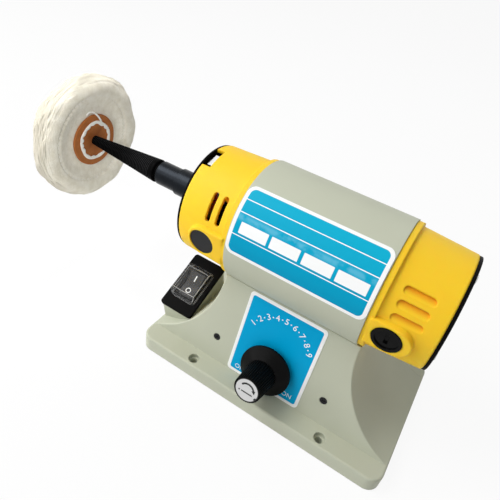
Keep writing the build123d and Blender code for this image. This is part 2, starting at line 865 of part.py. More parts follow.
with BuildPart() as front_bearing_outer_race:
    revolve(
        ring(bracket_face, front_end, front_bearing_radius - front_race_wall, front_bearing_radius),
        axis=motor_axis,
    )
save(front_bearing_outer_race, "front_bearing_outer_race")

with BuildPart() as front_bearing_balls:
    with Locations(cross_plane((bracket_face + front_end) / 2)):
        with PolarLocations(front_ball_circle, front_ball_count):
            Sphere(front_ball_radius)
save(front_bearing_balls, "front_bearing_balls")

with BuildPart() as front_bearing_inner_race:
    revolve(
        ring(bracket_face, front_end, shaft_radius + press_gap, shaft_radius + front_race_wall),
        axis=motor_axis,
    )
save(front_bearing_inner_race, "front_bearing_inner_race")

with BuildPart() as rear_bearing_outer_race:
    revolve(
        ring(rear_shoulder, bearing_stop, rear_bearing_radius - rear_race_wall, rear_bearing_radius),
        axis=motor_axis,
    )
save(rear_bearing_outer_race, "rear_bearing_outer_race")

with BuildPart() as rear_bearing_balls:
    with Locations(cross_plane((rear_shoulder + bearing_stop) / 2)):
        with PolarLocations(rear_ball_circle, rear_ball_count):
            Sphere(rear_ball_radius)
save(rear_bearing_balls, "rear_bearing_balls")

with BuildPart() as rear_bearing_inner_race:
    revolve(
        ring(
            rear_shoulder,
            bearing_stop - shaft_end_gap,
            rear_journal_radius + press_gap,
            rear_journal_radius + rear_race_wall,
        ),
        axis=motor_axis,
    )
save(rear_bearing_inner_race, "rear_bearing_inner_race")

# Stator: laminated core with two poles and a field coil round each

stator_radius = housing_inner_radius - press_gap
yoke_inner_radius = stator_radius - yoke_thickness
shoe_radius = yoke_inner_radius - coil_thickness - 2 * coil_gap
stator_bore = shoe_radius - pole_shoe_thickness
core_radius = stator_bore - rotor_air_gap

with BuildPart() as stator_core:
    with BuildSketch(cross_plane(stack_length / 2)):
        Circle(shoe_radius)
        Rectangle(2 * shoe_radius, pole_gap_height, mode=Mode.SUBTRACT)
        Rectangle(pole_width, 2 * yoke_inner_radius)
        Circle(stator_bore, mode=Mode.SUBTRACT)
    extrude(amount=stack_length)
    with BuildSketch(cross_plane(stack_length / 2)):
        Circle(stator_radius)
        Circle(yoke_inner_radius, mode=Mode.SUBTRACT)
        with PolarLocations(bolt_circle, bolt_count, start_angle=45):
            Circle(bolt_radius + 2 * slip_gap, mode=Mode.SUBTRACT)
    extrude(amount=stack_length)
save(stator_core, "stator_core")

with BuildPart() as field_coils:
    with BuildSketch(cross_plane(0)):
        Circle(yoke_inner_radius - coil_gap)
        Circle(shoe_radius + coil_gap, mode=Mode.SUBTRACT)
        Rectangle(2 * yoke_inner_radius, pole_gap_height, mode=Mode.SUBTRACT)
    extrude(amount=stack_length / 2 + coil_overhang, both=True)
    with Locations((0, 0, axis_height)):
        Box(
            stack_length + 2 * coil_gap,
            pole_width + 2 * coil_gap,
            2 * yoke_inner_radius,
            mode=Mode.SUBTRACT,
        )
save(field_coils, "field_coils")

# Armature: shaft, slotted core, winding, commutator and fan

shaft_end = bracket_face - sleeve_nose_length - sleeve_collar_length - sleeve_length / 2
fan_radius = bolt_boss_inner - fan_clearance
winding_bore = shaft_radius + winding_clearance
fan_front = front_end + bracket_lip + fan_gap
fan_disc_face = fan_front + fan_width

with BuildPart() as armature_shaft:
    shaft_section = turned(
        motor_plane,
        (shaft_end, 0),
        (shaft_end, shaft_radius),
        (rear_shoulder, shaft_radius),
        (rear_shoulder, rear_journal_radius),
        (bearing_stop - shaft_end_gap, rear_journal_radius),
        (bearing_stop - shaft_end_gap, 0),
    )
    revolve(shaft_section, axis=motor_axis)
save(armature_shaft, "armature_shaft")

with BuildPart() as armature_core:
    with BuildSketch(cross_plane(stack_length / 2)):
        Circle(core_radius)
        Circle(shaft_radius + press_gap, mode=Mode.SUBTRACT)
        with PolarLocations(core_radius, slot_count):
            Rectangle(2 * slot_depth, slot_width, mode=Mode.SUBTRACT)
    extrude(amount=stack_length)
save(armature_core, "armature_core")

with BuildPart() as armature_winding:
    with BuildSketch(cross_plane(stack_length / 2)):
        with PolarLocations(core_radius - slot_depth / 2, slot_count):
            Rectangle(slot_depth - 2 * slip_gap, slot_width - 2 * slip_gap)
    extrude(amount=stack_length)
    for start in (stack_length / 2, -stack_length / 2 - winding_overhang):
        revolve(
            ring(start, start + winding_overhang, winding_bore, core_radius - winding_inset),
            axis=motor_axis,
        )
save(armature_winding, "armature_winding")

with BuildPart() as commutator:
    with BuildSketch(cross_plane(brush_x + commutator_length / 2)):
        Circle(commutator_radius)
        Circle(shaft_radius + press_gap, mode=Mode.SUBTRACT)
        with PolarLocations(commutator_radius, commutator_bars):
            Rectangle(2 * commutator_groove, commutator_groove, mode=Mode.SUBTRACT)
    extrude(amount=commutator_length)
save(commutator, "commutator")

with BuildPart() as cooling_fan:
    fan_section = turned(
        motor_plane,
        (fan_front, shaft_radius + press_gap),
        (fan_front, fan_hub_radius),
        (fan_disc_face, fan_hub_radius),
        (fan_disc_face, fan_radius),
        (fan_disc_face + fan_disc_thickness, fan_radius),
        (fan_disc_face + fan_disc_thickness, shaft_radius + press_gap),
    )
    revolve(fan_section, axis=motor_axis)
    with BuildSketch(cross_plane(fan_disc_face)):
        with PolarLocations((fan_hub_radius + fan_radius - fan_blade_thickness) / 2, fan_blades):
            Rectangle(fan_radius - fan_hub_radius, fan_blade_thickness)
    extrude(amount=fan_width)
save(cooling_fan, "cooling_fan")

# Brush gear: holders in the bosses, brushes on the commutator, springs and slotted caps

holder_inner = commutator_radius + holder_stop
holder_outer = boss_reach - plug_seat_depth
brush_bed = commutator_radius - brush_width**2 / (8 * commutator_radius)
brush_end = brush_bed + brush_length
spring_end = holder_outer - cap_stem_length
spring_circle = spring_radius - spring_wire / 2
spring_height = spring_end - brush_end - 2 * spring_wire

with BuildPart() as brush_holders:
    with Locations(*brush_planes):
        with Locations((0, 0, -plug_seat_depth)):
            Cylinder(holder_radius, holder_outer - holder_inner, align=downwards)
            Box(brush_depth + 2 * slip_gap, brush_width + 2 * slip_gap, 2 * boss_reach, mode=Mode.SUBTRACT)
            Cylinder(cap_stem_radius + slip_gap, cap_stem_length, align=downwards, mode=Mode.SUBTRACT)
save(brush_holders, "brush_holders")

with BuildPart() as carbon_brushes:
    with Locations(*brush_planes):
        with Locations((0, 0, brush_end - boss_reach)):
            Box(brush_depth, brush_width, brush_length, align=downwards)
    with BuildSketch(cross_plane(brush_x + brush_depth)):
        Circle(commutator_radius + running_gap)
    extrude(amount=2 * brush_depth, mode=Mode.SUBTRACT)
save(carbon_brushes, "carbon_brushes")

with BuildPart() as brush_springs:
    for angle in boss_angles:
        spring_plane = surface_plane(brush_x, angle, brush_end + spring_wire)
        with BuildLine() as coil:
            Helix(
                spring_height / spring_turns,
                spring_height,
                spring_circle,
                center=spring_plane.origin,
                direction=spring_plane.z_dir,
            )
        with BuildSketch(Plane(coil.line @ 0, z_dir=coil.line % 0)):
            Circle(spring_wire / 2)
        sweep(path=coil.line)
save(brush_springs, "brush_springs")

with BuildPart() as brush_caps:
    with Locations(*brush_planes):
        with Locations((0, 0, -plug_seat_depth)):
            Cylinder(plug_radius, plug_seat_depth + brush_cap_proud, align=upwards)
            Cylinder(cap_stem_radius, cap_stem_length, align=downwards)
        with Locations((0, 0, brush_cap_proud)):
            Cylinder(plug_radius - brush_cap_rim, 2 * brush_cap_dish, mode=Mode.SUBTRACT)
            Box(
                driver_slot_width,
                driver_slot_length,
                2 * (brush_cap_dish + driver_slot_depth),
                mode=Mode.SUBTRACT,
            )
save(brush_caps, "brush_caps")

# Adapter sleeve on the shaft, tapered spindle in its far end, and the buff

collar_start = bracket_face - sleeve_nose_length
collar_end = collar_start - sleeve_collar_length
sleeve_end = collar_end - sleeve_length
taper_start = sleeve_end - neck_length
spindle_tip = taper_start - spindle_length
nose_radius = (shaft_radius + sleeve_collar_radius) / 2
grub_spots = [
    (collar_start - sleeve_collar_length / 2, shaft_radius, sleeve_collar_radius),
    (sleeve_end + stub_length / 2, stub_radius, sleeve_radius),
]


def taper_radius(x):
    """Radius of the spindle's cone at x."""
    share = (taper_start - x) / spindle_length
    return spindle_large_radius - share * (spindle_large_radius - spindle_tip_radius)


with BuildPart() as adapter_sleeve:
    sleeve_section = turned(
        motor_plane,
        (bracket_face, shaft_radius + press_gap),
        (bracket_face, nose_radius),
        (collar_start, nose_radius),
        (collar_start, sleeve_collar_radius),
        (collar_end, sleeve_collar_radius),
        (collar_end, sleeve_radius),
        (sleeve_end + sleeve_chamfer, sleeve_radius),
        (sleeve_end, sleeve_radius - sleeve_chamfer),
        (sleeve_end, stub_radius + press_gap),
        (shaft_end - shaft_end_gap, stub_radius + press_gap),
        (shaft_end - shaft_end_gap, shaft_radius + press_gap),
    )
    revolve(sleeve_section, axis=motor_axis)
    with Locations(*[surface_plane(x, 180, outer) for x, inner, outer in grub_spots]):
        Cylinder(
            grub_radius + press_gap,
            sleeve_collar_radius - stub_radius,
            align=downwards,
            mode=Mode.SUBTRACT,
        )
save(adapter_sleeve, "adapter_sleeve")

with BuildPart() as grub_screws:
    for x, inner, outer in grub_spots:
        with Locations(surface_plane(x, 180, outer - grub_inset)):
            Cylinder(grub_radius, outer - inner - 2 * grub_inset, align=downwards)
save(grub_screws, "grub_screws")

with BuildPart() as tapered_spindle:
    spindle_section = turned(
        motor_plane,
        (sleeve_end + stub_length, 0),
        (sleeve_end + stub_length, stub_radius),
        (sleeve_end, stub_radius),
        (sleeve_end, neck_radius),
        (taper_start, neck_radius),
        (taper_start, spindle_large_radius),
        (spindle_tip, spindle_tip_radius),
        (spindle_tip, 0),
    )
    revolve(spindle_section, axis=motor_axis)
save(tapered_spindle, "tapered_spindle")

disc_face = taper_start - buff_setback
cloth_start = disc_face - leather_thickness
cloth_end = cloth_start - buff_hub_thickness
rim_swell = (buff_rim_thickness - buff_hub_thickness) / 2
swell_radius = (leather_radius + buff_radius) / 2

with BuildPart() as buff_cloth:
    cloth_section = turned(
        motor_plane,
        (cloth_start, taper_radius(cloth_start) + press_gap),
        (cloth_start, leather_radius + rim_swell),
        (cloth_start + rim_swell, swell_radius),
        (cloth_start + rim_swell, buff_radius),
        (cloth_end - rim_swell, buff_radius),
        (cloth_end - rim_swell, swell_radius),
        (cloth_end, leather_radius + rim_swell),
        (cloth_end, taper_radius(cloth_end) + press_gap),
    )
    revolve(cloth_section, axis=motor_axis)
    fillet(buff_cloth.edges().filter_by(GeomType.CIRCLE).sort_by(SortBy.RADIUS)[-2:], buff_rim_round)
save(buff_cloth, "buff_cloth")

with BuildPart() as leather_discs:
    for face in (disc_face, cloth_end):
        leather_section = turned(
            motor_plane,
            (face, taper_radius(face) + press_gap),
            (face, leather_radius),
            (face - leather_thickness, leather_radius),
            (face - leather_thickness, taper_radius(face - leather_thickness) + press_gap),
        )
        revolve(leather_section, axis=motor_axis)
save(leather_discs, "leather_discs")

# Printed labels on the housing and on the front panel

label_length = housing_length - 2 * label_margin
label_chord = 2 * housing_radius * sin(radians(label_high_angle - label_low_angle) / 2)
panel_half = pedestal_depth / 2
saddle_rise = axis_height - foot_height
crease_middle = panel_half * sin(lean) + saddle_rise * cos(lean)
crease_rise = crease_middle - sqrt(crease_middle**2 + saddle_radius**2 - panel_half**2 - saddle_rise**2)
panel_label_height = crease_rise - panel_label_margin - panel_label_gap
label_rise = panel_label_margin + panel_label_height / 2

with BuildPart() as housing_label:
    with BuildSketch(cross_plane(label_length / 2)):
        Circle(housing_radius + label_thickness)
        Circle(housing_radius + glue_gap, mode=Mode.SUBTRACT)
    extrude(amount=label_length)
    with BuildSketch(surface_plane(0, (label_low_angle + label_high_angle) / 2, 0)):
        RectangleRounded(label_length, label_chord, label_corner)
    extrude(amount=2 * housing_radius, mode=Mode.INTERSECT)
save(housing_label, "housing_label")

with BuildPart() as panel_label:
    with BuildSketch(panel_plane(label_rise)):
        RectangleRounded(panel_label_width, panel_label_height, panel_label_corner)
        with Locations((0, knob_rise - label_rise)):
            Circle(panel_label_hole, mode=Mode.SUBTRACT)
    extrude(amount=label_thickness)
save(panel_label, "panel_label")

# Speed control: potentiometer behind the panel, knob with its disc on the shaft

knob_axis = Axis(knob_plane.origin, knob_plane.z_dir)
knob_side = Plane(knob_plane.origin, x_dir=knob_plane.x_dir, z_dir=-knob_plane.y_dir)
knob_top = knob_clearance + knob_height
grip_start = knob_clearance + knob_skirt_height
grip_lean = degrees(atan2(knob_waist_radius - knob_top_radius, knob_top - grip_start))

with BuildPart() as potentiometer:
    with Locations(knob_plane):
        with Locations((0, 0, -base_wall)):
            Cylinder(pot_body_radius, pot_body_depth, align=downwards)
            Cylinder(pot_bush_radius, pot_bush_height, align=upwards)
            Cylinder(
                pot_shaft_radius + running_gap,
                pot_body_depth - pot_floor,
                align=downwards,
                mode=Mode.SUBTRACT,
            )
            Cylinder(pot_shaft_radius + running_gap, pot_bush_height, align=upwards, mode=Mode.SUBTRACT)
save(potentiometer, "potentiometer")

with BuildPart() as pot_nut:
    with BuildSketch(knob_plane):
        RegularPolygon(pot_nut_flats / 2, 6, major_radius=False)
        Circle(pot_bush_radius + press_gap, mode=Mode.SUBTRACT)
    extrude(amount=pot_nut_thickness)
save(pot_nut, "pot_nut")

with BuildPart() as pot_shaft:
    with Locations(knob_plane):
        with Locations((0, 0, pot_shaft_height)):
            Cylinder(
                pot_shaft_radius,
                pot_shaft_height + base_wall + pot_body_depth - pot_floor - shaft_end_gap,
                align=downwards,
            )
save(pot_shaft, "pot_shaft")

with BuildPart() as speed_knob:
    knob_section = turned(
        knob_side,
        (0, knob_clearance),
        (knob_skirt_radius, knob_clearance),
        (knob_skirt_radius, knob_clearance + knob_skirt_edge),
        (knob_waist_radius, grip_start),
        (knob_top_radius, knob_top),
        (0, knob_top),
    )
    revolve(knob_section, axis=knob_axis)
    fillet(speed_knob.edges().sort_by(knob_axis)[-1], knob_top_round)
    with Locations(knob_plane):
        with PolarLocations(0, knob_flutes):
            with Locations(Location((knob_waist_radius, 0, grip_start), (0, -grip_lean, 0))):
                Cylinder(knob_flute_radius, knob_height, align=upwards, mode=Mode.SUBTRACT)
        with Locations((0, 0, knob_top)):
            Cylinder(
                knob_disc_radius + press_gap,
                2 * (knob_disc_thickness - knob_disc_proud),
                mode=Mode.SUBTRACT,
            )
        with Locations((0, 0, knob_clearance)):
            Cylinder(knob_cavity_radius, knob_cavity_height, align=upwards, mode=Mode.SUBTRACT)
        Cylinder(
            pot_shaft_radius + press_gap, pot_shaft_height + shaft_end_gap, align=upwards, mode=Mode.SUBTRACT
        )
save(speed_knob, "speed_knob")

with BuildPart() as knob_cap:
    with Locations(knob_plane):
        with Locations((0, 0, knob_top + knob_disc_proud)):
            Cylinder(knob_disc_radius, knob_disc_thickness, align=downwards)
save(knob_cap, "knob_cap")

# Speed board on spacers behind the front panel, with its components on the rear face

board_face = panel_plane(panel_screw_rise).offset(-base_wall - spacer_length)
board_rear = board_face.offset(-board_thickness)
panel_screw_grip = base_wall - panel_screw_recess + spacer_length + board_thickness + board_nut_thickness
board_length = 2 * (panel_screw_x + board_edge)
triac_x = board_length / 8
heat_sink_y = triac_thickness / 2

with BuildPart() as panel_screws:
    with Locations(*panel_screw_places):
        with Locations((0, 0, -panel_screw_recess)):
            Cylinder(panel_screw_head_radius, panel_screw_head_height, align=upwards)
            Cylinder(panel_screw_radius, panel_screw_grip + tap_allowance, align=downwards)
        with Locations((0, 0, panel_screw_head_height - panel_screw_recess)):
            Box(panel_screw_slot, 2 * panel_screw_radius, 2 * panel_screw_slot, mode=Mode.SUBTRACT)
            Box(2 * panel_screw_radius, panel_screw_slot, 2 * panel_screw_slot, mode=Mode.SUBTRACT)
save(panel_screws, "panel_screws")

with BuildPart() as board_spacers:
    with Locations(*panel_screw_places):
        with Locations((0, 0, -base_wall)):
            Cylinder(spacer_radius, spacer_length, align=downwards)
            Cylinder(panel_screw_radius + slip_gap, spacer_length, align=downwards, mode=Mode.SUBTRACT)
save(board_spacers, "board_spacers")

with BuildPart() as speed_board:
    with BuildSketch(board_face):
        Rectangle(board_length, board_height)
        with GridLocations(2 * panel_screw_x, 0, 2, 1):
            Circle(panel_screw_radius + slip_gap, mode=Mode.SUBTRACT)
    extrude(amount=-board_thickness)
save(speed_board, "speed_board")

with BuildPart() as board_nuts:
    with BuildSketch(board_rear):
        with GridLocations(2 * panel_screw_x, 0, 2, 1):
            RegularPolygon(board_nut_flats / 2, 6, major_radius=False)
            Circle(panel_screw_radius + press_gap, mode=Mode.SUBTRACT)
    extrude(amount=-board_nut_thickness)
save(board_nuts, "board_nuts")

with BuildPart() as film_capacitor:
    with Locations(board_rear):
        with Locations((-board_length / 4, 0)):
            Box(capacitor_length, capacitor_width, capacitor_height, align=downwards)
save(film_capacitor, "film_capacitor")

with BuildPart() as triac:
    with Locations(board_rear):
        with Locations((triac_x, 0)):
            Box(triac_width, triac_thickness, triac_height, align=downwards)
save(triac, "triac")

with BuildPart() as heat_sink:
    with BuildSketch(board_rear):
        with Locations((triac_x, heat_sink_y)):
            Rectangle(heat_sink_width, heat_sink_plate, align=(Align.CENTER, Align.MIN))
        with Locations((triac_x, heat_sink_y + heat_sink_plate)):
            fin_pitch = (heat_sink_width - heat_sink_fin_thickness) / (heat_sink_fins - 1)
            with GridLocations(fin_pitch, 0, heat_sink_fins, 1):
                Rectangle(
                    heat_sink_fin_thickness,
                    heat_sink_depth - heat_sink_plate,
                    align=(Align.CENTER, Align.MIN),
                )
    extrude(amount=-heat_sink_height)
save(heat_sink, "heat_sink")

# Rocker switch: plate on the pod, body in the plate, rocker on its pins under a clear cover

well_width = rocker_width + 2 * rocker_side_gap
well_length = rocker_length + 2 * rocker_clearance
body_width = well_width + 2 * switch_wall
body_length = well_length + 2 * switch_wall
half_rocker = rocker_length / 2
rocker_plane = switch_plane.offset(-rocker_pivot_depth).rotated((rocker_throw, 0, 0))

with BuildPart() as switch_plate:
    with BuildSketch(switch_plane):
        RectangleRounded(switch_plate_width, switch_plate_length, switch_plate_corner)
    extrude(amount=-switch_plate_thickness)
    fillet(switch_plate.faces().sort_by(Axis.Z)[-1].edges(), switch_plate_round)
    with BuildSketch(switch_plane):
        Rectangle(body_width + 2 * slip_gap, body_length + 2 * slip_gap)
    extrude(amount=-switch_plate_thickness, mode=Mode.SUBTRACT)
save(switch_plate, "switch_plate")

with BuildPart() as switch_body:
    with BuildSketch(switch_plane):
        Rectangle(body_width, body_length)
    extrude(amount=-switch_depth)
    with BuildSketch(switch_plane):
        RectangleRounded(body_width + 2 * switch_flange, body_length + 2 * switch_flange, switch_flange)
    extrude(amount=switch_bezel)
    with BuildSketch(switch_plane.offset(-switch_plate_thickness)):
        with GridLocations(0, body_length, 1, 2):
            Rectangle(body_width / 2, 2 * switch_flange)
    extrude(amount=-switch_plate_thickness)
    with BuildSketch(switch_plane.offset(switch_bezel)):
        Rectangle(well_width, well_length)
    extrude(amount=-switch_bezel - switch_well_depth, mode=Mode.SUBTRACT)
    with BuildSketch(Plane(rocker_plane.origin, x_dir=switch_plane.y_dir, z_dir=switch_plane.x_dir)):
        Circle(rocker_pin_radius + running_gap)
    extrude(amount=body_width, both=True, mode=Mode.SUBTRACT)
save(switch_body, "switch_body")

with BuildPart() as switch_rocker:
    with BuildSketch(Plane(rocker_plane.origin, x_dir=rocker_plane.y_dir, z_dir=rocker_plane.x_dir)):
        with BuildLine():
            Polyline(
                (-half_rocker, rocker_end_height + rocker_pivot_depth),
                (0, rocker_middle_height + rocker_pivot_depth),
                (half_rocker, rocker_end_height + rocker_pivot_depth),
                (half_rocker, rocker_pivot_depth - rocker_skirt),
                (2 * rocker_pin_radius, -2 * rocker_pin_radius),
                (-2 * rocker_pin_radius, -2 * rocker_pin_radius),
                (-half_rocker, rocker_pivot_depth - rocker_skirt),
                close=True,
            )
        make_face()
    extrude(amount=rocker_width / 2, both=True)
    with BuildSketch(Plane(rocker_plane.origin, x_dir=rocker_plane.y_dir, z_dir=rocker_plane.x_dir)):
        Circle(rocker_pin_radius)
    extrude(amount=body_width / 2 - slip_gap, both=True)
save(switch_rocker, "switch_rocker")


def cover_block(inset):
    """Block with sloping ends for the clear cover, its walls moved in by the inset."""
    block_length = rain_cover_length - 2 * inset
    block_height = rain_cover_height - inset
    side_base = block_length + 2 * rain_cover_foot / tan(radians(rain_cover_end_angle))
    with BuildPart() as block:
        with BuildSketch(switch_plane):
            RectangleRounded(rain_cover_width - 2 * inset, block_length, switch_plate_corner - inset)
        extrude(amount=block_height, taper=rain_cover_draft)
        with BuildSketch(Plane(switch_plane.origin, x_dir=switch_plane.y_dir, z_dir=switch_plane.x_dir)):
            Trapezoid(side_base, block_height, rain_cover_end_angle, align=(Align.CENTER, Align.MIN))
        extrude(amount=rain_cover_width, both=True, mode=Mode.INTERSECT)
    return block.part


with BuildPart() as switch_cover:
    add(cover_block(0))
    add(cover_block(rain_cover_wall), mode=Mode.SUBTRACT)
save(switch_cover, "switch_cover")

with BuildPart() as switch_terminals:
    with BuildSketch(switch_plane.offset(-switch_depth)):
        with GridLocations(0, terminal_pitch, 1, 2):
            Rectangle(terminal_width, terminal_thickness)
    extrude(amount=-terminal_length)
save(switch_terminals, "switch_terminals")

# Cord gland in the rear panel with its nut inside

with BuildPart() as cord_gland:
    with BuildSketch(gland_plane):
        RegularPolygon(gland_flats / 2, 6, major_radius=False)
    extrude(amount=gland_head_length)
    with BuildSketch(gland_plane):
        Circle(gland_thread_radius)
    extrude(amount=-gland_thread_length)
    with Locations(gland_plane):
        Cylinder(gland_bore_radius, 4 * gland_thread_length, mode=Mode.SUBTRACT)
save(cord_gland, "cord_gland")

with BuildPart() as gland_nut:
    with BuildSketch(gland_plane.offset(-base_wall)):
        RegularPolygon(gland_flats / 2, 6, major_radius=False)
        Circle(gland_thread_radius + press_gap, mode=Mode.SUBTRACT)
    extrude(amount=-gland_nut_thickness)
save(gland_nut, "gland_nut")
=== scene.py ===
from math import radians, tau

import bmesh
import bpy
import numpy as np
from mathutils import Euler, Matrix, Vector


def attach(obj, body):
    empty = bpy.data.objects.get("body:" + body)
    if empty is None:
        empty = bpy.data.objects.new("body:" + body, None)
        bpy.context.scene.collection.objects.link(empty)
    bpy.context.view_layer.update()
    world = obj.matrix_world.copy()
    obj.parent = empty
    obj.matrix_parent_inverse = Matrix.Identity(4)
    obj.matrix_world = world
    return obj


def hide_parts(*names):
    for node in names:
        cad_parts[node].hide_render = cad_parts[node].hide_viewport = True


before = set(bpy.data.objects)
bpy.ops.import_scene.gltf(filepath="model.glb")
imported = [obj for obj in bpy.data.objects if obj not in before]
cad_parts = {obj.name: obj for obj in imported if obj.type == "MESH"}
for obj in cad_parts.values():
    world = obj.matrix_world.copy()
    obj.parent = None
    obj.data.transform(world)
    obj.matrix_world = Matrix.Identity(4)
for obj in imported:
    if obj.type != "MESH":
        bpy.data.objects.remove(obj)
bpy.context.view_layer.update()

# Base shell, bottom cover and motor barrel: one family of warm grey satin mouldings.
# The shell is moulded hollow from below, the cover closes it, and the barrel lies in the
# shell's saddle; all three come out of spark-eroded tools, so their skin is finely matt.


class Field:
    """A number that varies over a surface; each sum, product or step below adds one Math node."""

    def __init__(self, socket):
        self.socket = socket
        self.tree = socket.id_data

    def step(self, operation, *others):
        node = self.tree.nodes.new("ShaderNodeMath")
        node.operation = operation
        for place, value in zip(node.inputs, (self, *others)):
            feed(place, value)
        return Field(node.outputs[0])

    def __add__(self, other):
        return self.step("ADD", other)

    def __sub__(self, other):
        return self.step("SUBTRACT", other)

    def __mul__(self, other):
        return self.step("MULTIPLY", other)

    def __truediv__(self, other):
        return self.step("DIVIDE", other)

    def __abs__(self):
        return self.step("ABSOLUTE")

    def most(self, other):
        return self.step("MAXIMUM", other)

    def sine(self):
        return self.step("SINE")

    def below(self, edge, soft):
        """1 where the field is under the edge and 0 above it, with a smooth step as wide as soft."""
        node = self.tree.nodes.new("ShaderNodeMapRange")
        node.interpolation_type = "SMOOTHSTEP"
        feed(node.inputs["Value"], self)
        node.inputs["From Min"].default_value = edge - soft / 2
        node.inputs["From Max"].default_value = edge + soft / 2
        node.inputs["To Min"].default_value = 1.0
        node.inputs["To Max"].default_value = 0.0
        return Field(node.outputs["Result"])


def feed(place, value):
    """Sets an input to a constant, or links it to a field or socket."""
    if isinstance(value, Field):
        value = value.socket
    if isinstance(value, bpy.types.NodeSocket):
        place.id_data.links.new(value, place)
    else:
        place.default_value = value


def new_finish(name, **settings):
    """A material with its shader's constant sockets set; returns the material and the shader."""
    material = bpy.data.materials.new(name)
    material.use_nodes = True
    shader = material.node_tree.nodes["Principled BSDF"]
    for socket, value in settings.items():
        shader.inputs[socket.replace("_", " ")].default_value = value
    return material, shader


def position(tree):
    """Object coordinates in millimetres, as three fields."""
    split = tree.nodes.new("ShaderNodeSeparateXYZ")
    feed(split.inputs[0], tree.nodes.new("ShaderNodeTexCoord").outputs["Object"])
    return [Field(socket) * 1000.0 for socket in split.outputs]


def speckle(tree, size, detail=2.0, stretch=(1.0, 1.0, 1.0)):
    """Noise from 0 to 1 with blotches about size millimetres across, drawn out along the axes."""
    place = tree.nodes.new("ShaderNodeMapping")
    feed(place.inputs["Vector"], tree.nodes.new("ShaderNodeTexCoord").outputs["Object"])
    place.inputs["Scale"].default_value = [1000.0 / size / part for part in stretch]
    noise = tree.nodes.new("ShaderNodeTexNoise")
    feed(noise.inputs["Vector"], place.outputs["Vector"])
    noise.inputs["Scale"].default_value = 1.0
    noise.inputs["Detail"].default_value = detail
    return Field(noise.outputs["Fac"])


def between(share, first, second):
    """Colour that goes from the first to the second as the share goes from 0 to 1."""
    node = share.tree.nodes.new("ShaderNodeMix")
    node.data_type = "RGBA"
    feed(node.inputs["Factor"], share)
    for place, colour in (("A_Color", first), ("B_Color", second)):
        socket = next(s for s in node.inputs if s.identifier == place)
        feed(socket, colour if isinstance(colour, bpy.types.NodeSocket) else (*colour, 1.0))
    return next(s for s in node.outputs if s.identifier == "Result_Color")


def relief(shader, height, depth, edge=0.0):
    """Bump of a field over a depth in millimetres; an edge radius softens corners in the shading."""
    tree = shader.id_data
    bump = tree.nodes.new("ShaderNodeBump")
    bump.inputs["Distance"].default_value = depth / 1000.0
    feed(bump.inputs["Height"], height)
    if edge:
        corner = tree.nodes.new("ShaderNodeBevel")
        corner.samples = 4
        corner.inputs["Radius"].default_value = edge / 1000.0
        feed(bump.inputs["Normal"], corner.outputs["Normal"])
    feed(shader.inputs["Normal"], bump.outputs["Normal"])


def moulded(name, dark, light, roughness, grain, edge, **settings):
    """Moulded plastic: two near shades in wide soft blotches, a fine sand-like skin, soft edges."""
    material, shader = new_finish(name, **settings)
    tree = shader.id_data
    feed(shader.inputs["Base Color"], between(speckle(tree, 35.0, 3.0), dark, light))
    feed(shader.inputs["Roughness"], speckle(tree, 6.0) * 0.12 + (roughness - 0.06))
    relief(shader, speckle(tree, 0.5, 1.0), grain, edge)
    return material


def dress(material, *names):
    """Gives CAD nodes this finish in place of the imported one."""
    for name in names:
        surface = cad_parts[name].data
        surface.materials.clear()
        surface.materials.append(material)


grey_moulding = moulded(
    "grey_moulding", (0.47, 0.49, 0.385), (0.51, 0.53, 0.42), 0.50, 0.03, 0.8, Specular_IOR_Level=0.25
)
dress(grey_moulding, "base_shell", "bottom_cover", "motor_housing")

# Screws, bolts, washers, nuts and bearing rings: zinc-plated or ground steel.
# They are turned or headed from wire and hold the cover, the motor, the caps and the board;
# the plating is slightly cloudy and the turned faces carry faint rings.


def bright_metal(name, colour, roughness, cloud):
    """Metal with a cloudy sheen: the roughness wanders by cloud over blotches of a few millimetres."""
    material, shader = new_finish(name, Metallic=1.0)
    tree = shader.id_data
    paler = [part * 1.12 for part in colour]
    feed(shader.inputs["Base Color"], between(speckle(tree, 9.0, 3.0), colour, paler))
    feed(shader.inputs["Roughness"], speckle(tree, 2.5) * cloud + (roughness - cloud / 2))
    relief(shader, speckle(tree, 0.4, 1.0), 0.006, 0.2)
    return material


plated_steel = bright_metal("plated_steel", (0.56, 0.56, 0.55), 0.34, 0.16)
dress(
    plated_steel,
    "cover_screws", "housing_screws", "housing_washers", "drive_end_screws", "brush_end_screws",
    "through_bolts", "brush_springs", "board_nuts", "pot_nut", "pot_shaft", "switch_terminals",
)
ground_steel = bright_metal("ground_steel", (0.60, 0.60, 0.60), 0.22, 0.10)
dress(
    ground_steel,
    "front_bearing_outer_race", "front_bearing_balls", "front_bearing_inner_race",
    "rear_bearing_outer_race", "rear_bearing_balls", "rear_bearing_inner_race", "armature_shaft",
)
black_screw = bright_metal("black_screw", (0.03, 0.03, 0.032), 0.40, 0.12)
dress(black_screw, "panel_screws", "grub_screws")

# Stator, armature, commutator and brushes: stacked sheet steel, enamelled copper and pressed carbon.
# The sheets are stamped 0.5 mm thick and varnished, the wire is laid in their slots, and the
# copper bars of the commutator are turned true on the shaft.


def banded(name, dark, light, period, roughness, metallic):
    """Bands across the motor axis: a sine of x with the given period in millimetres, plus cloudiness."""
    material, shader = new_finish(name, Metallic=metallic)
    tree = shader.id_data
    along = position(tree)[0]
    bands = (along * (tau / period)).sine() * 0.5 + 0.5
    share = bands * 0.7 + speckle(tree, 3.0, 3.0) * 0.3
    feed(shader.inputs["Base Color"], between(share, dark, light))
    feed(shader.inputs["Roughness"], speckle(tree, 2.0) * 0.15 + roughness)
    relief(shader, bands, 0.05)
    return material


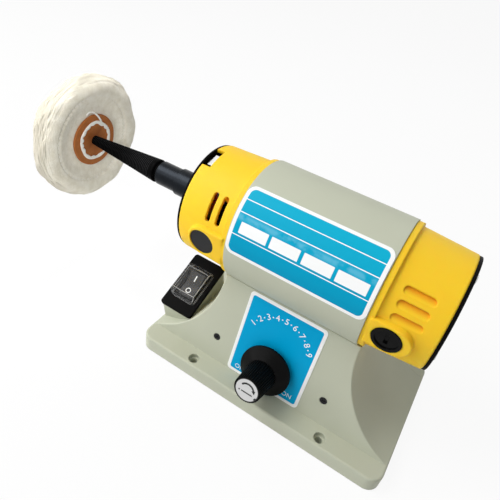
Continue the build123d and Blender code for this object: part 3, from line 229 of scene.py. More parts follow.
sheet_stack = banded("sheet_stack", (0.10, 0.10, 0.11), (0.26, 0.26, 0.27), 1.0, 0.38, 0.8)
dress(sheet_stack, "stator_core", "armature_core")
copper_wire = banded("copper_wire", (0.30, 0.09, 0.02), (0.66, 0.27, 0.09), 0.9, 0.28, 0.9)
dress(copper_wire, "field_coils", "armature_winding")
dress(bright_metal("copper_bars", (0.72, 0.38, 0.20), 0.26, 0.12), "commutator")
dress(moulded("pressed_carbon", (0.025, 0.025, 0.027), (0.05, 0.05, 0.052), 0.6, 0.02, 0.1), "carbon_brushes")

# End caps: glossy yellow mouldings that close the barrel and hold the bearings and brushes.
# A trace of scatter under the skin softens the shading as in the real nylon. Painted shade turns the
# yellow a deeper orange where it is recessed: in the vent slots, and more so down the ramps of the louvres.

axis_height = 111.3
cap_radius, taper_start = 39.4, 50.5
drive_taper, brush_taper = 0.040, 0.067
sunk_middle, sunk_half, sunk_depth = 66.0, 12.0, 1.0


def axis_reach(across, up):
    """Distance from the motor axis: the root of the squares of the way across it and the rise over it."""
    rise = up - axis_height
    return (across * across + rise * rise).step("SQRT")


cap_yellow = moulded(
    "cap_yellow", (0.91, 0.57, 0.018), (0.95, 0.61, 0.026), 0.50, 0.006, 1.2, Specular_IOR_Level=0.20,
    Subsurface_Weight=0.35, Subsurface_Radius=(1.0, 0.40, 0.04), Subsurface_Scale=0.0025,
)
cap_shader = cap_yellow.node_tree.nodes["Principled BSDF"]
cap_x, cap_y, cap_z = position(cap_yellow.node_tree)
drive_fall = (cap_x * -1.0 - taper_start).most(0.0) * drive_taper
brush_fall = (cap_x - taper_start).most(0.0) * brush_taper
cap_rise = axis_reach(cap_y, cap_z) - cap_radius + drive_fall + brush_fall
# Painted shade: more than about a millimetre under the cap's outer surface, near 66 mm out along the axis,
# the yellow is painted orange.
painted_recess_shade = cap_rise.below(-sunk_depth, 1.5) * abs(abs(cap_x) - sunk_middle).below(sunk_half, 2.0)
skin_colour = cap_shader.inputs["Base Color"].links[0].from_socket
shade_colour = between(cap_x.below(0.0, 1.0), (0.76, 0.27, 0.003), (0.98, 0.46, 0.008))
feed(cap_shader.inputs["Base Color"], between(painted_recess_shade * 0.9, skin_colour, shade_colour))
dress(cap_yellow, "drive_end_cap", "brush_end_cap")

# Bearing bracket and heat sink: bright aluminium.
# The bracket is die cast and shows through the window of the drive-end cap, and the heat sink
# is sawn from extruded bar.

dress(bright_metal("cast_alloy", (0.74, 0.74, 0.74), 0.30, 0.20), "bearing_bracket", "heat_sink")

# End plates, plugs, brush caps, switch and gland: black mouldings.
# They are pressed or screwed into the yellow caps and the base; the plates are matt, the brush
# caps are shinier phenolic with softly broken edges, and the plugs are dull grey-black rubber.

black_matt = moulded(
    "black_matt", (0.002, 0.002, 0.002), (0.0035, 0.0035, 0.0035), 0.46, 0.008, 0.3, Specular_IOR_Level=0.03
)
dress(
    black_matt,
    "drive_end_plate", "brush_end_plate", "switch_plate", "switch_body", "cord_gland", "gland_nut",
    "cooling_fan", "brush_holders", "board_spacers", "triac", "potentiometer",
)
black_phenolic = moulded(
    "black_phenolic", (0.002, 0.002, 0.002), (0.004, 0.004, 0.004), 0.18, 0.006, 0.4, Specular_IOR_Level=0.06
)
dress(black_phenolic, "brush_caps")
grey_rubber = moulded(
    "grey_rubber", (0.026, 0.026, 0.028), (0.034, 0.034, 0.036), 0.60, 0.012, 0.4, Specular_IOR_Level=0.08
)
dress(grey_rubber, "cap_plugs")

# Adapter sleeve: turned steel with a black oxide skin, fixed to the motor shaft by a grub screw.
# The turning leaves fine rings round it and the oxide gives a soft bluish sheen.

oxide_sleeve, sleeve_shader = new_finish("oxide_sleeve", Metallic=0.85, Specular_IOR_Level=0.2)
sleeve_tree = sleeve_shader.id_data
sleeve_rings = speckle(sleeve_tree, 0.35, 2.0, (1.0, 60.0, 60.0))
feed(
    sleeve_shader.inputs["Base Color"],
    between(speckle(sleeve_tree, 8.0, 3.0), (0.008, 0.0095, 0.012), (0.015, 0.0175, 0.021)),
)
feed(sleeve_shader.inputs["Roughness"], sleeve_rings * 0.14 + 0.22)
relief(sleeve_shader, sleeve_rings, 0.008, 0.3)
dress(oxide_sleeve, "adapter_sleeve")

# Tapered spindle: a black steel cone with a fine tapered thread that winds itself into the buff.
# It is turned in one piece with a plain land and a chamfer at its large end, and a stub that goes
# into the sleeve. The crests of the thread next to the land are painted paler, as painted highlights. Sizes
# are in millimetres.

stub_end, sleeve_end, land_start, spindle_tip = -123.0, -131.0, -133.4, -217.0
stub_radius, neck_radius, large_radius, tip_radius = 5.0, 7.0, 8.75, 2.1
land_length, land_chamfer, thread_pitch, thread_depth = 3.2, 0.7, 1.5, 0.5
thread_run_out, tip_round, crest_highlight_end = 6.0, 1.2, -157.0
cone_length = land_start - spindle_tip
cone_slope = (large_radius - tip_radius) / cone_length


def about_motor_axis(x, radius, turn):
    """Points at x along the motor axis, at a radius from it and a turn round it from the top."""
    return np.stack(
        np.broadcast_arrays(x, radius * np.sin(turn), axis_height + radius * np.cos(turn)), axis=-1
    )


def skin(name, *grids, sharp=35.0, hollow=False):
    """Closed mesh over grids of points in millimetres, shaped (rows, columns, 3).

    The columns go once round, each cell becomes a quad, and rows that shrink to one point become
    a pole. In a hollow piece the last row joins the first, as the wall of its hole. Edges bent by
    more than the sharp angle keep a crease in the shading.
    """
    points, cells, first = [], [], 0
    for grid in grids:
        rows, columns = grid.shape[:2]
        here = first + np.arange(rows * columns).reshape(rows, columns)
        ahead = np.roll(here, -1, axis=1)
        quads = np.stack([here, ahead, np.roll(ahead, -1, axis=0), np.roll(here, -1, axis=0)], axis=-1)
        cells.append(quads[: rows if hollow else rows - 1].reshape(-1, 4))
        points.append(grid.reshape(-1, 3) / 1000.0)
        first += rows * columns
    mesh = bpy.data.meshes.new(name)
    mesh.from_pydata(np.concatenate(points).tolist(), [], np.concatenate(cells).tolist())
    shell = bmesh.new()
    shell.from_mesh(mesh)
    bmesh.ops.remove_doubles(shell, verts=shell.verts, dist=1e-7)
    bmesh.ops.recalc_face_normals(shell, faces=shell.faces)
    shell.to_mesh(mesh)
    shell.free()
    mesh.shade_smooth()
    mesh.set_sharp_from_angle(angle=radians(sharp))
    piece = bpy.data.objects.new(name, mesh)
    bpy.context.scene.collection.objects.link(piece)
    return piece


def spindle_surface():
    """Cone whose radius falls evenly from the land to the tip, less a ridge-shaped thread.

    The thread depth is a triangle wave of the distance along the cone in pitches plus the turn in
    whole turns, faded in after the land and out before the tip.
    """
    columns = np.linspace(0, tau, 40, endpoint=False)
    rows_per_pitch = 8
    along = np.linspace(0, cone_length, int(cone_length / thread_pitch * rows_per_pitch))[:, None]
    cone = large_radius - along / cone_length * (large_radius - tip_radius)
    phase = (along / thread_pitch + columns / tau) % 1.0
    notch = 1.0 - np.abs(2.0 * phase - 1.0)
    fade = np.clip(along - land_length, 0, 1) * np.clip((cone_length - along) / thread_run_out, 0, 1)
    chamfer = np.clip(land_chamfer - along, 0, None)
    into_tip = np.clip(along - cone_length + tip_round, 0, tip_round)
    round_tip = tip_round - np.sqrt(np.clip(tip_round**2 - into_tip**2, 0, None))
    radius = cone - chamfer - thread_depth * fade * notch - round_tip
    body = about_motor_axis(land_start - along, radius, columns)
    ends = [
        (stub_end, 0.0), (stub_end, stub_radius), (sleeve_end, stub_radius), (sleeve_end, neck_radius),
        (land_start, neck_radius),
    ]
    head = np.concatenate([about_motor_axis(np.full((1, 1), x), r, columns[None, :]) for x, r in ends])
    tail = about_motor_axis(np.full((1, 1), spindle_tip), 0.0, columns[None, :])
    return np.concatenate([head, body, tail])


oxide_thread, thread_shader = new_finish("oxide_thread", Specular_IOR_Level=0.012)
thread_tree = thread_shader.id_data
thread_x, thread_y, thread_z = position(thread_tree)
cone_rise = large_radius - land_start * cone_slope
notch_depth = thread_x * cone_slope - axis_reach(thread_y, thread_z) + cone_rise
threaded = thread_x.below(land_start - land_length - 1.0, 1.0) * (thread_x * -1.0).below(-crest_highlight_end, 28.0)
oxide = between(speckle(thread_tree, 5.0, 3.0), (0.0015, 0.0015, 0.0015), (0.003, 0.003, 0.0032))
# Painted highlight: the thread's crests next to the land are painted paler.
painted_crest_highlight = notch_depth.below(0.14, 0.12) * threaded
feed(thread_shader.inputs["Base Color"], between(painted_crest_highlight, oxide, (0.026, 0.026, 0.028)))
feed(thread_shader.inputs["Roughness"], speckle(thread_tree, 1.2) * 0.15 + 0.30)
relief(thread_shader, speckle(thread_tree, 0.3, 1.0), 0.008)

spindle = skin("spindle", spindle_surface())
spindle.data.materials.append(oxide_thread)
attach(spindle, "rotor")
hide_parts("tapered_spindle")

# Buff: discs of unbleached muslin laid on each other, stitched in a ring, cut round and wound onto
# the thread of the cone. Stitching and leather hold the plies flat, and they fan out into a soft,
# lumpy rim, where they part in wavy furrows; painted shade darkens the furrows and the rim's rear half.

buff_middle = -205.8
buff_radius, buff_bore, rim_round = 48.2, 3.9, 10.0
hub_half, rim_half, hub_radius, swell_radius = 6.0, 9.6, 24.0, 37.0
stitch_radius, stitch_offset, stitch_dip, stitches = 33.6, 2.6, 0.75, 62
lump_start, lump_orders, lump_heights = 32.0, (2, 3, 5, 7), (0.50, 0.45, 0.40, 0.30)
leaning_folds, fold_heights = ((0.06, (6, 9, 13)), (-0.05, (8, 11, 17))), (0.26, 0.20, 0.12)
fold_start, sway_start, loose_radius = 36.0, 38.0, 46.0
sway_orders, sway_heights = (3, 5, 8, 13, 19), (0.5, 0.4, 0.35, 0.25, 0.15)
edge_orders, edge_most = (4, 6, 9, 15, 24, 37), 0.34
fray_orders, fray_heights = (5, 8, 12, 21), (0.3, 0.3, 0.25, 0.2)
ply_pitch, ply_depth, ply_count, ply_ragged = 0.95, 0.24, 28, 0.30
furrow_waves = ((2, 1.6, 0.4), (3, 1.2, 1.9), (5, 0.8, 4.0), (9, 0.5, 2.2), (14, 0.3, 5.0))
wide_furrow, narrow_furrow, furrow_depth = 3.6, 2.5, 0.38
face_rows, rim_rows, buff_columns, rim_power = 56, 138, 420, 2.0 / 2.1
rear_shade_end, rear_shade_radius = -200.5, 41.0
chance = np.random.default_rng(11)


def smooth_step(value, start, end):
    """0 before the start, 1 after the end and a smooth cubic between them."""
    share = np.clip((value - start) / (end - start), 0.0, 1.0)
    return share * share * (3.0 - 2.0 * share)


def lumps(turn, orders, heights):
    """Sum over the orders of a cosine of that many waves round the axis, each with its own phase."""
    phases = chance.uniform(0, tau, len(orders))
    return sum(h * np.cos(n * turn + p) for n, h, p in zip(orders, heights, phases))


def buff_half(radius):
    """Half the thickness of the buff at a radius: level under the leather, swelling to the rim."""
    return hub_half + (rim_half - hub_half) * smooth_step(radius, hub_radius, swell_radius)


def stitched_radius(turn):
    """Radius of the sewn ring, which lies a little off the axis."""
    return stitch_radius + stitch_offset * np.cos(turn + 0.8)


def buff_surface():
    """Front face, rounded rim and rear face as one strip, carried round the axis and pushed in and out.

    The strip's rim is a quarter-round superellipse each way. The push along its normal adds lumps
    of few waves, folds of more waves that lean across the rim, a groove at the sewn ring, and at the
    rim one ridge for each ply, whose edge wanders and frays round the axis in its own way. Where two
    wavering cosines across the rim are high together, the plies part in a furrow; it is returned too.
    """
    turn = np.linspace(0, tau, buff_columns, endpoint=False)[None, :]
    flat_radius = buff_radius - rim_round
    face = np.linspace(buff_bore, flat_radius, face_rows)
    bend = np.linspace(0, np.pi, rim_rows)[1:-1]
    radius = np.concatenate([face, flat_radius + rim_round * np.sin(bend) ** rim_power, face[::-2]])
    over_rim = np.sign(np.cos(bend)) * np.abs(np.cos(bend)) ** rim_power
    side = np.concatenate([np.ones(face_rows), over_rim, -np.ones(face_rows // 2)])
    depth = side * buff_half(np.minimum(radius, flat_radius))
    across, out = np.gradient(depth), np.gradient(radius)
    length = np.hypot(across, out)
    normal_out, normal_side = (-across / length)[:, None], (out / length)[:, None]
    radius, depth = radius[:, None], depth[:, None]

    push = smooth_step(radius, lump_start, buff_radius) * lumps(turn, lump_orders, lump_heights)
    for lean, orders in leaning_folds:
        folds = lumps(turn + lean * depth, orders, fold_heights)
        push = push + smooth_step(radius, fold_start, loose_radius) * folds
    dip = np.exp(-(((radius - stitched_radius(turn)) / 1.1) ** 2))
    push = push - dip * stitch_dip * (0.8 + 0.2 * np.cos(stitches * turn))

    sway = lumps(turn, sway_orders, sway_heights)
    ply = (depth + sway * smooth_step(radius, sway_start, loose_radius)) / ply_pitch
    number = np.floor(ply).astype(int)
    ridge = 1.0 - np.abs(2.0 * (ply - number) - 1.0) ** 2.5
    edges = []
    for _ in range(ply_count):
        edge_heights = chance.uniform(0.0, edge_most, len(edge_orders))
        edges.append(lumps(turn[0], edge_orders, edge_heights))
    edge = np.take_along_axis(np.stack(edges), number + ply_count // 2, axis=0)
    fray = np.clip(0.8 + lumps(turn + 0.1 * depth, fray_orders, fray_heights), 0.0, 1.6)
    rim = smooth_step(radius, buff_radius - 0.66 * rim_round, buff_radius - 0.15 * rim_round)
    push = push + rim * fray * (ply_depth * (ridge - 1.0) + ply_ragged * edge * ridge)

    waver = sum(height * np.cos(waves * turn + start) for waves, height, start in furrow_waves)
    parting = np.cos(tau * (depth + waver) / wide_furrow)
    parting = parting + np.cos(tau * (depth - 0.7 * waver) / narrow_furrow + 3 * turn)
    furrows = rim * smooth_step(parting, 0.2, 1.8)
    push = push - furrow_depth * furrows
    points = about_motor_axis(buff_middle + depth + push * normal_side, radius + push * normal_out, turn)
    return points, furrows


muslin, muslin_shader = new_finish(
    "muslin", Roughness=0.92, Specular_IOR_Level=0.05, Sheen_Weight=0.12, Sheen_Roughness=0.6,
    Subsurface_Weight=0.12, Subsurface_Radius=(1.0, 0.9, 0.75), Subsurface_Scale=0.0015,
)
muslin_tree = muslin_shader.id_data
cloth_x, cloth_y, cloth_z = position(muslin_tree)
weave = (cloth_y * 7.4).sine() * (cloth_z * 7.4).sine()
slubs = speckle(muslin_tree, 1.1, 2.0, (1.0, 6.0, 1.0)) + speckle(muslin_tree, 1.1, 2.0, (1.0, 1.0, 6.0))
patches = speckle(muslin_tree, 5.0, 5.0) * 1.5 + slubs * 0.3 - 0.5
cloth_tone = between(patches, (0.68, 0.63, 0.50), (0.89, 0.86, 0.76))
# Painted shade: the rear half of the rim, away from the front face, is painted darker.
painted_rear_shade = cloth_x.below(rear_shade_end, 9.0) * (axis_reach(cloth_y, cloth_z) * -1.0).below(-rear_shade_radius, 8.0)
furrow = muslin_tree.nodes.new("ShaderNodeAttribute")
furrow.attribute_name = "furrow"
# Painted shade: the furrows where the plies part are painted darker.
painted_furrow_shade = between(Field(furrow.outputs["Fac"]) * 0.5, cloth_tone, (0.46, 0.42, 0.34))
feed(muslin_shader.inputs["Base Color"], between(painted_rear_shade * 0.88, painted_furrow_shade, (0.51, 0.475, 0.39)))
relief(muslin_shader, weave * 0.25 + slubs + speckle(muslin_tree, 0.7, 4.0) * 0.8, 0.16)

buff_points, buff_furrows = buff_surface()
buff = skin("buff", buff_points, sharp=180.0, hollow=True)
buff.data.attributes.new("furrow", "FLOAT", "POINT").data.foreach_set("value", buff_furrows.ravel())
buff.data.materials.append(muslin)
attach(buff, "rotor")
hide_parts("buff_cloth")

# Leather washers: a disc of brown vegetable-tanned leather on each side of the buff.
# They are stamped from hide 2 mm thick, so their edges are slightly rounded and their outline is
# not quite true; the cone's thread cuts into the hole.

leather_faces = (-197.8, -211.8)
leather_radius, leather_thickness, leather_edge, hole_gap = 20.3, 2.0, 0.7, 0.15
ragged_orders, ragged_heights = (2, 3, 5, 9), (0.16, 0.12, 0.08, 0.05)
crease_depth, flat_rows, edge_rows = 0.16, 22, 14


def taper_radius(x):
    """Radius of the spindle's cone at x."""
    return large_radius - (land_start - x) / cone_length * (large_radius - tip_radius)


def washer_surface(face):
    """Flat ring with rounded outer edges: its section runs hole, front, edge, back, hole, round the axis.

    The outline gains lumps of few waves, and eight shallow creases run out from the hole.
    """
    turn = np.linspace(0, tau, 160, endpoint=False)[None, :]
    hole = taper_radius(face - leather_thickness / 2) + hole_gap
    flat = np.linspace(hole, leather_radius - leather_edge, flat_rows)
    bend = np.linspace(0, np.pi, edge_rows)
    squash = np.sqrt(np.abs(np.cos(bend)))
    edge = leather_radius - leather_edge + leather_edge * np.sin(bend)
    radius = np.concatenate([flat, edge, flat[::-1], flat[:1]])[:, None]
    down_edge = (np.sign(np.cos(bend)) * squash - 1.0) * leather_thickness / 2
    back = np.full(flat_rows, -leather_thickness)
    depth = np.concatenate([np.zeros(flat_rows), down_edge, back, np.zeros(1)])[:, None]
    ragged = smooth_step(radius, 12.0, leather_radius) * lumps(turn, ragged_orders, ragged_heights)
    crease = crease_depth * np.abs(np.cos(4.0 * turn)) ** 12 * smooth_step(radius, 14.0, 9.0)
    crease = crease * np.cos(np.pi * depth / leather_thickness)
    return about_motor_axis(face + depth - crease * (leather_thickness + depth > 0.1), radius + ragged, turn)


hide, hide_shader = new_finish("hide", Specular_IOR_Level=0.08)
hide_tree = hide_shader.id_data
pores = speckle(hide_tree, 0.9, 4.0)
hide_reach = axis_reach(*position(hide_tree)[1:])
# The hide's tone wanders in blotches and pores and runs darker within about 9 mm of the axis, next to the
# hole.
hide_tone = speckle(hide_tree, 7.0, 4.0) * 0.7 + pores * 0.3 - hide_reach.below(9.0, 9.0) * 0.35
feed(hide_shader.inputs["Base Color"], between(hide_tone, (0.23, 0.070, 0.018), (0.52, 0.185, 0.055)))
feed(hide_shader.inputs["Roughness"], pores * 0.2 + 0.48)
relief(hide_shader, pores, 0.12)

washers = skin("leather_washers", *(washer_surface(face) for face in leather_faces), sharp=60.0)
washers.data.materials.append(hide)
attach(washers, "rotor")
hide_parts("leather_discs")

# Lacing and stitching: thick white cotton thread.
# A ring of heavy lacing goes through both washers and the cloth, its end is left hanging over the
# leather, and finer thread is sewn in one ring on each side of the cloth.

lacing_reach, lacing_half, lacing_rise, lacing_stitches = 15.4, 1.35, 0.62, 15
sewing_thickness = 0.2
tail_guides = np.array(
    [(14.3, 0.46, 0.7), (19.0, 0.13, 1.0), (24.2, -0.02, 0.6), (25.0, -0.20, -1.2), (21.9, -0.27, -1.3)]
)
tail_half, tail_thinning, tail_rise = 0.75, 0.15, 0.5


def tube(path, half_width, half_height, sides):
    """Oval thread along a path: ovals across it, wide square to the motor axis and high along that axis."""
    ahead = np.gradient(path, axis=0)
    if np.allclose(path[0], path[-1]):
        ahead[0] = ahead[-1] = path[1] - path[-2]
    ahead /= np.linalg.norm(ahead, axis=1, keepdims=True)
    aside = np.cross(ahead, (1.0, 0.0, 0.0))
    aside /= np.linalg.norm(aside, axis=1, keepdims=True)
    over = np.cross(aside, ahead)
    spin = np.linspace(0, tau, sides, endpoint=False)[None, :, None]
    wide = np.broadcast_to(half_width, len(path))[:, None, None] * np.cos(spin)
    high = np.broadcast_to(half_height, len(path))[:, None, None] * np.sin(spin)
    return path[:, None] + wide * aside[:, None] + high * over[:, None]


def closed_ends(grid):
    """Adds a pole at the middle of the first and the last ring, so that an open tube is closed."""
    ends = [np.broadcast_to(ring.mean(axis=0), ring.shape)[None] for ring in (grid[0], grid[-1])]
    return np.concatenate([ends[0], grid, ends[1]])


def lacing_ring(face, outward):
    """Ring of lumpy stitches: even on its outer side, while its inner side and height wave once a stitch."""
    turn = np.linspace(0, tau, 481)
    pull = 0.65 + 0.35 * np.cos(2.0 * turn + 2.0) * np.cos(5.0 * turn)
    stitch = pull * np.cos(lacing_stitches * turn + 1.5 * np.cos(2.0 * turn + 1.0) + 0.9 * np.cos(5.0 * turn))
    half = lacing_half * (1.0 + 0.24 * stitch)
    radius = lacing_reach - half + 0.35 * np.cos(2.0 * turn + 0.6) + 0.25 * np.cos(5.0 * turn)
    rise = lacing_rise * (1.0 + 0.2 * stitch)
    return tube(about_motor_axis(face + outward * 0.6 * rise, radius, turn), half, rise, 14)


def sewing_ring(outward):
    """Ring of fine stitches that dives into the cloth once a stitch, laid in the groove of the buff."""
    turn = np.linspace(0, tau, stitches * 8 + 1)
    radius = stitched_radius(turn)
    height = buff_half(radius) - stitch_dip + 0.25 * np.cos(stitches * turn)
    path = about_motor_axis(buff_middle + outward * height, radius, turn)
    return tube(path, sewing_thickness, sewing_thickness, 6)


def loose_tail():
    """End of the lacing that hangs over the leather: a Bezier curve of five points, each a radius, a
    turn and a height above the leather, carrying an oval that thins a little towards its end."""
    share, power = np.linspace(0, 1, 48)[:, None], np.arange(5)
    weights = np.array([1.0, 4.0, 6.0, 4.0, 1.0]) * share**power * (1.0 - share) ** (4 - power)
    radius, turn, height = (weights @ tail_guides).T
    path = about_motor_axis(leather_faces[0] + height, radius, turn)
    return closed_ends(tube(path, tail_half - tail_thinning * share[:, 0], tail_rise, 12))


white_thread, white_shader = new_finish(
    "white_thread", Roughness=0.85, Specular_IOR_Level=0.15, Sheen_Weight=0.3
)
white_tree = white_shader.id_data
twist = speckle(white_tree, 0.5, 2.0, (1.0, 2.5, 1.0))
feed(white_shader.inputs["Base Color"], between(twist, (0.72, 0.70, 0.63), (0.90, 0.89, 0.85)))
relief(white_shader, twist, 0.2)

rear_face = leather_faces[1] - leather_thickness
lacing_rings = lacing_ring(leather_faces[0], 1.0), lacing_ring(rear_face, -1.0)
lacing = skin("lacing", *lacing_rings, loose_tail(), sharp=80.0)
sewing = skin("sewing", sewing_ring(1.0), sewing_ring(-1.0), sharp=80.0)
for thread in (lacing, sewing):
    thread.data.materials.append(white_thread)
    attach(thread, "rotor")

# Barrel label: a blue printed film glued round the front of the barrel.
# A white border, thin white rules, four plain white boxes and a faint cloudy band are printed on
# it; the film is glossy and lies close to the barrel.

label_half_length, label_low, label_high, label_reach = 46.2, -1.1, 60.6, 42.5
label_border, label_corner = 2.3, 3.6
rule_heights, rule_half, band_height, band_half = (13.0, 4.8, -9.2), 0.28, 1.9, 1.6
box_places, box_height, box_half_length, box_half_height = (-30.9, -10.0, 11.1, 32.1), -4.0, 9.4, 3.55


def inside_rounded(x, y, half_x, half_y, corner, soft):
    """1 inside a rounded rectangle about the origin and 0 outside, from the distance to its outline."""
    over_x = (abs(x) - (half_x - corner)).most(0.0)
    over_y = (abs(y) - (half_y - corner)).most(0.0)
    return (over_x * over_x + over_y * over_y).step("SQRT").below(corner, soft)


def printed_film(name):
    """Glossy film with a faint ripple; returns the material, the shader and its tree."""
    material, shader = new_finish(name, Specular_IOR_Level=0.06)
    tree = shader.id_data
    feed(shader.inputs["Roughness"], speckle(tree, 12.0) * 0.1 + 0.30)
    relief(shader, speckle(tree, 8.0, 1.0), 0.02)
    return material, shader, tree


white_ink = (0.90, 0.91, 0.91)
barrel_film, film_shader, film_tree = printed_film("barrel_film")
film_x, film_y, film_z = position(film_tree)
middle_angle = radians(label_low + label_high) / 2
half_wrap = radians(label_high - label_low) / 2 * label_reach
film_v = ((film_z - axis_height).step("ARCTAN2", film_y * -1.0) - middle_angle) * label_reach
field_mask = inside_rounded(
    film_x, film_v, label_half_length - label_border, half_wrap - label_border, label_corner, 0.25
)
rules = None
for height in rule_heights:
    rule = abs(film_v - height).below(rule_half, 0.2)
    rules = rule if rules is None else rules.most(rule)
for place in box_places:
    box = inside_rounded(film_x - place, film_v - box_height, box_half_length, box_half_height, 0.4, 0.25)
    rules = rules.most(box)
cloudy_band = abs(film_v - band_height).below(band_half, 2.6) * speckle(film_tree, 9.0, 3.0).below(0.52, 0.2)
# Painted shade: the blue is painted deeper towards the film's lower, forward-facing edge and paler towards
# its upper edge.
painted_shade_blue = between(film_v / (2.0 * half_wrap) + 0.5, (0.000, 0.29, 0.50), (0.006, 0.42, 0.62))
film_blue = between(cloudy_band * 0.35, painted_shade_blue, (0.25, 0.62, 0.78))
film_print = between(rules, film_blue, white_ink)
feed(film_shader.inputs["Base Color"], between(field_mask, white_ink, film_print))
dress(barrel_film, "housing_label")

# Panel label: the same film on the sloping front panel, with a hole for the speed control.
# It has a white border and a blue field; the dial's figures are printed on it further below.

panel_lean = radians(13.6)
panel_foot = np.array([0.0, -43.0, 12.0])
panel_across = np.array([1.0, 0.0, 0.0])
panel_up = np.array([0.0, np.sin(panel_lean), np.cos(panel_lean)])
panel_out = np.array([0.0, -np.cos(panel_lean), np.sin(panel_lean)])
panel_low, panel_high = 0.5, 67.1
panel_half_width, panel_border = 26.3, 2.3

panel_film, panel_shader, panel_tree = printed_film("panel_film")
panel_x, _, panel_z = position(panel_tree)
panel_v = (panel_z - float(panel_foot[2])) / float(panel_up[2]) - (panel_low + panel_high) / 2
panel_half_height = (panel_high - panel_low) / 2 - panel_border
panel_mask = inside_rounded(panel_x, panel_v, panel_half_width, panel_half_height, 1.6, 0.25)
panel_blue = between(speckle(panel_tree, 40.0, 2.0), (0.000, 0.325, 0.62), (0.000, 0.385, 0.69))
feed(panel_shader.inputs["Base Color"], between(panel_mask, white_ink, panel_blue))
dress(panel_film, "panel_label")

# Dial figures: white ink on the panel label round the speed control.
# Plain numbers stand on an arc with short strokes between them, OFF at the lower left corner
# and ON at the lower right; the ink is a few hundredths of a millimetre thick.

knob_rise = 18.4
ink_thickness = 0.04
film_thickness = 0.3


def on_panel(flat, height):
    """Points given across and up from the knob's middle, at a height out from the panel."""
    across, up = flat[..., :1], flat[..., 1:2] + knob_rise
    return panel_foot + across * panel_across + up * panel_up + height * panel_out


def lettering(words, size, middle, turn=0.0):
    """Outlines of words as a thin flat slab, turned about the middle: points across, up, out; and faces."""
    curve = bpy.data.curves.new("words", "FONT")
    curve.body, curve.size = words, size
    curve.align_x, curve.align_y = "CENTER", "CENTER"
    curve.extrude, curve.resolution_u = ink_thickness / 2, 4
    holder = bpy.data.objects.new("words", curve)
    bpy.context.scene.collection.objects.link(holder)
    bpy.context.view_layer.update()
    mesh = bpy.data.meshes.new_from_object(holder.evaluated_get(bpy.context.evaluated_depsgraph_get()))
    points = np.empty(len(mesh.vertices) * 3)
    mesh.vertices.foreach_get("co", points)
    points = points.reshape(-1, 3)
    faces = [list(face.vertices) for face in mesh.polygons]
    bpy.data.objects.remove(holder)
    bpy.data.curves.remove(curve)
    bpy.data.meshes.remove(mesh)
    across, up = points[:, 0].copy(), points[:, 1].copy()
    points[:, 0] = middle[0] + across * np.cos(turn) - up * np.sin(turn)
    points[:, 1] = middle[1] + across * np.sin(turn) + up * np.cos(turn)
    points[:, 2] += ink_thickness / 2
    return points, faces


def stroke(start, end, width):
    """Straight bar of ink from one flat point to another, as a slab of eight points and six faces."""
    start, end = np.array(start), np.array(end)
    aside = np.array([start[1] - end[1], end[0] - start[0]]) / np.linalg.norm(end - start) * width / 2
    flat = np.array([start - aside, start + aside, end + aside, end - aside])
    points = np.concatenate([np.column_stack([flat, np.full(4, h)]) for h in (0.0, ink_thickness)])
    return points, [[0, 1, 2, 3], [7, 6, 5, 4], [0, 4, 5, 1], [1, 5, 6, 2], [2, 6, 7, 3], [3, 7, 4, 0]]


def slabs(name, shapes, place):
    """One mesh from flat slabs, each put on its surface by the place function and closed."""
    points, faces, first = [], [], 0
    for flat, cells in shapes:
        points.append(place(flat))
        faces += [[first + corner for corner in cell] for cell in cells]
        first += len(flat)
    mesh = bpy.data.meshes.new(name)
    mesh.from_pydata((np.concatenate(points) / 1000.0).tolist(), [], faces)
    shell = bmesh.new()
    shell.from_mesh(mesh)
    bmesh.ops.remove_doubles(shell, verts=shell.verts, dist=1e-8)
    bmesh.ops.recalc_face_normals(shell, faces=shell.faces)
    shell.to_mesh(mesh)
    shell.free()
    piece = bpy.data.objects.new(name, mesh)
    bpy.context.scene.collection.objects.link(piece)
    return piece


def dial(angle, radius):
    """Flat point at a radius from the knob's middle, at an angle in degrees from its right."""
    return radius * np.array([np.cos(radians(angle)), np.sin(radians(angle))])


figure_angles = np.linspace(154.0, 24.0, 9)
figure_middle, figure_radius, figure_size, word_size = np.array([0.9, 16.3]), 23.5, 6.2, 4.9
dot_size, off_place, on_place = 0.8, (-18.8, -12.5), (18.9, -11.7)
figure_shapes = [
    lettering(str(figure), figure_size, figure_middle + dial(angle, figure_radius), radians(angle - 90.0))
    for figure, angle in zip(range(1, 10), figure_angles)
]
for angle in (figure_angles[:-1] + figure_angles[1:]) / 2:
    dot_ends = [figure_middle + dial(angle, figure_radius + side * dot_size / 2) for side in (-1.0, 1.0)]
    figure_shapes.append(stroke(*dot_ends, dot_size))
figure_shapes += [lettering("OFF", word_size, off_place), lettering("ON", word_size, on_place)]

white_print, print_shader = new_finish("white_print", Specular_IOR_Level=0.4)
print_tree = print_shader.id_data
feed(
    print_shader.inputs["Base Color"],
    between(speckle(print_tree, 1.5), (0.84, 0.86, 0.86), (0.92, 0.93, 0.93)),
)
feed(print_shader.inputs["Roughness"], speckle(print_tree, 3.0) * 0.1 + 0.32)

dial_figures = slabs("dial_figures", figure_shapes, lambda flat: on_panel(flat, film_thickness + flat[:, 2:]))
dial_figures.data.materials.append(white_print)
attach(dial_figures, "base")

# Speed knob: a fluted black knob with a wide skirt and a satin aluminium disc in its top.
# It is pushed onto the shaft of the potentiometer. The disc has a black edge and carries a black
# turning arrow, a line and a dot, and a black pointer stands at its rim.

disc_height, disc_bright = 30.5, 7.9
arc_radius, arc_start, arc_end, arc_width, arrow_size = 4.85, 150.0, 22.0, 1.3, 1.35
line_height, line_start, line_end, line_width = -2.1, -3.5, 4.6, 0.9
dot_start, dot_end, dot_width = -5.5, -4.5, 1.0
pointer_angle, pointer_start, pointer_end, pointer_width = -24.0, 7.0, 8.4, 2.2

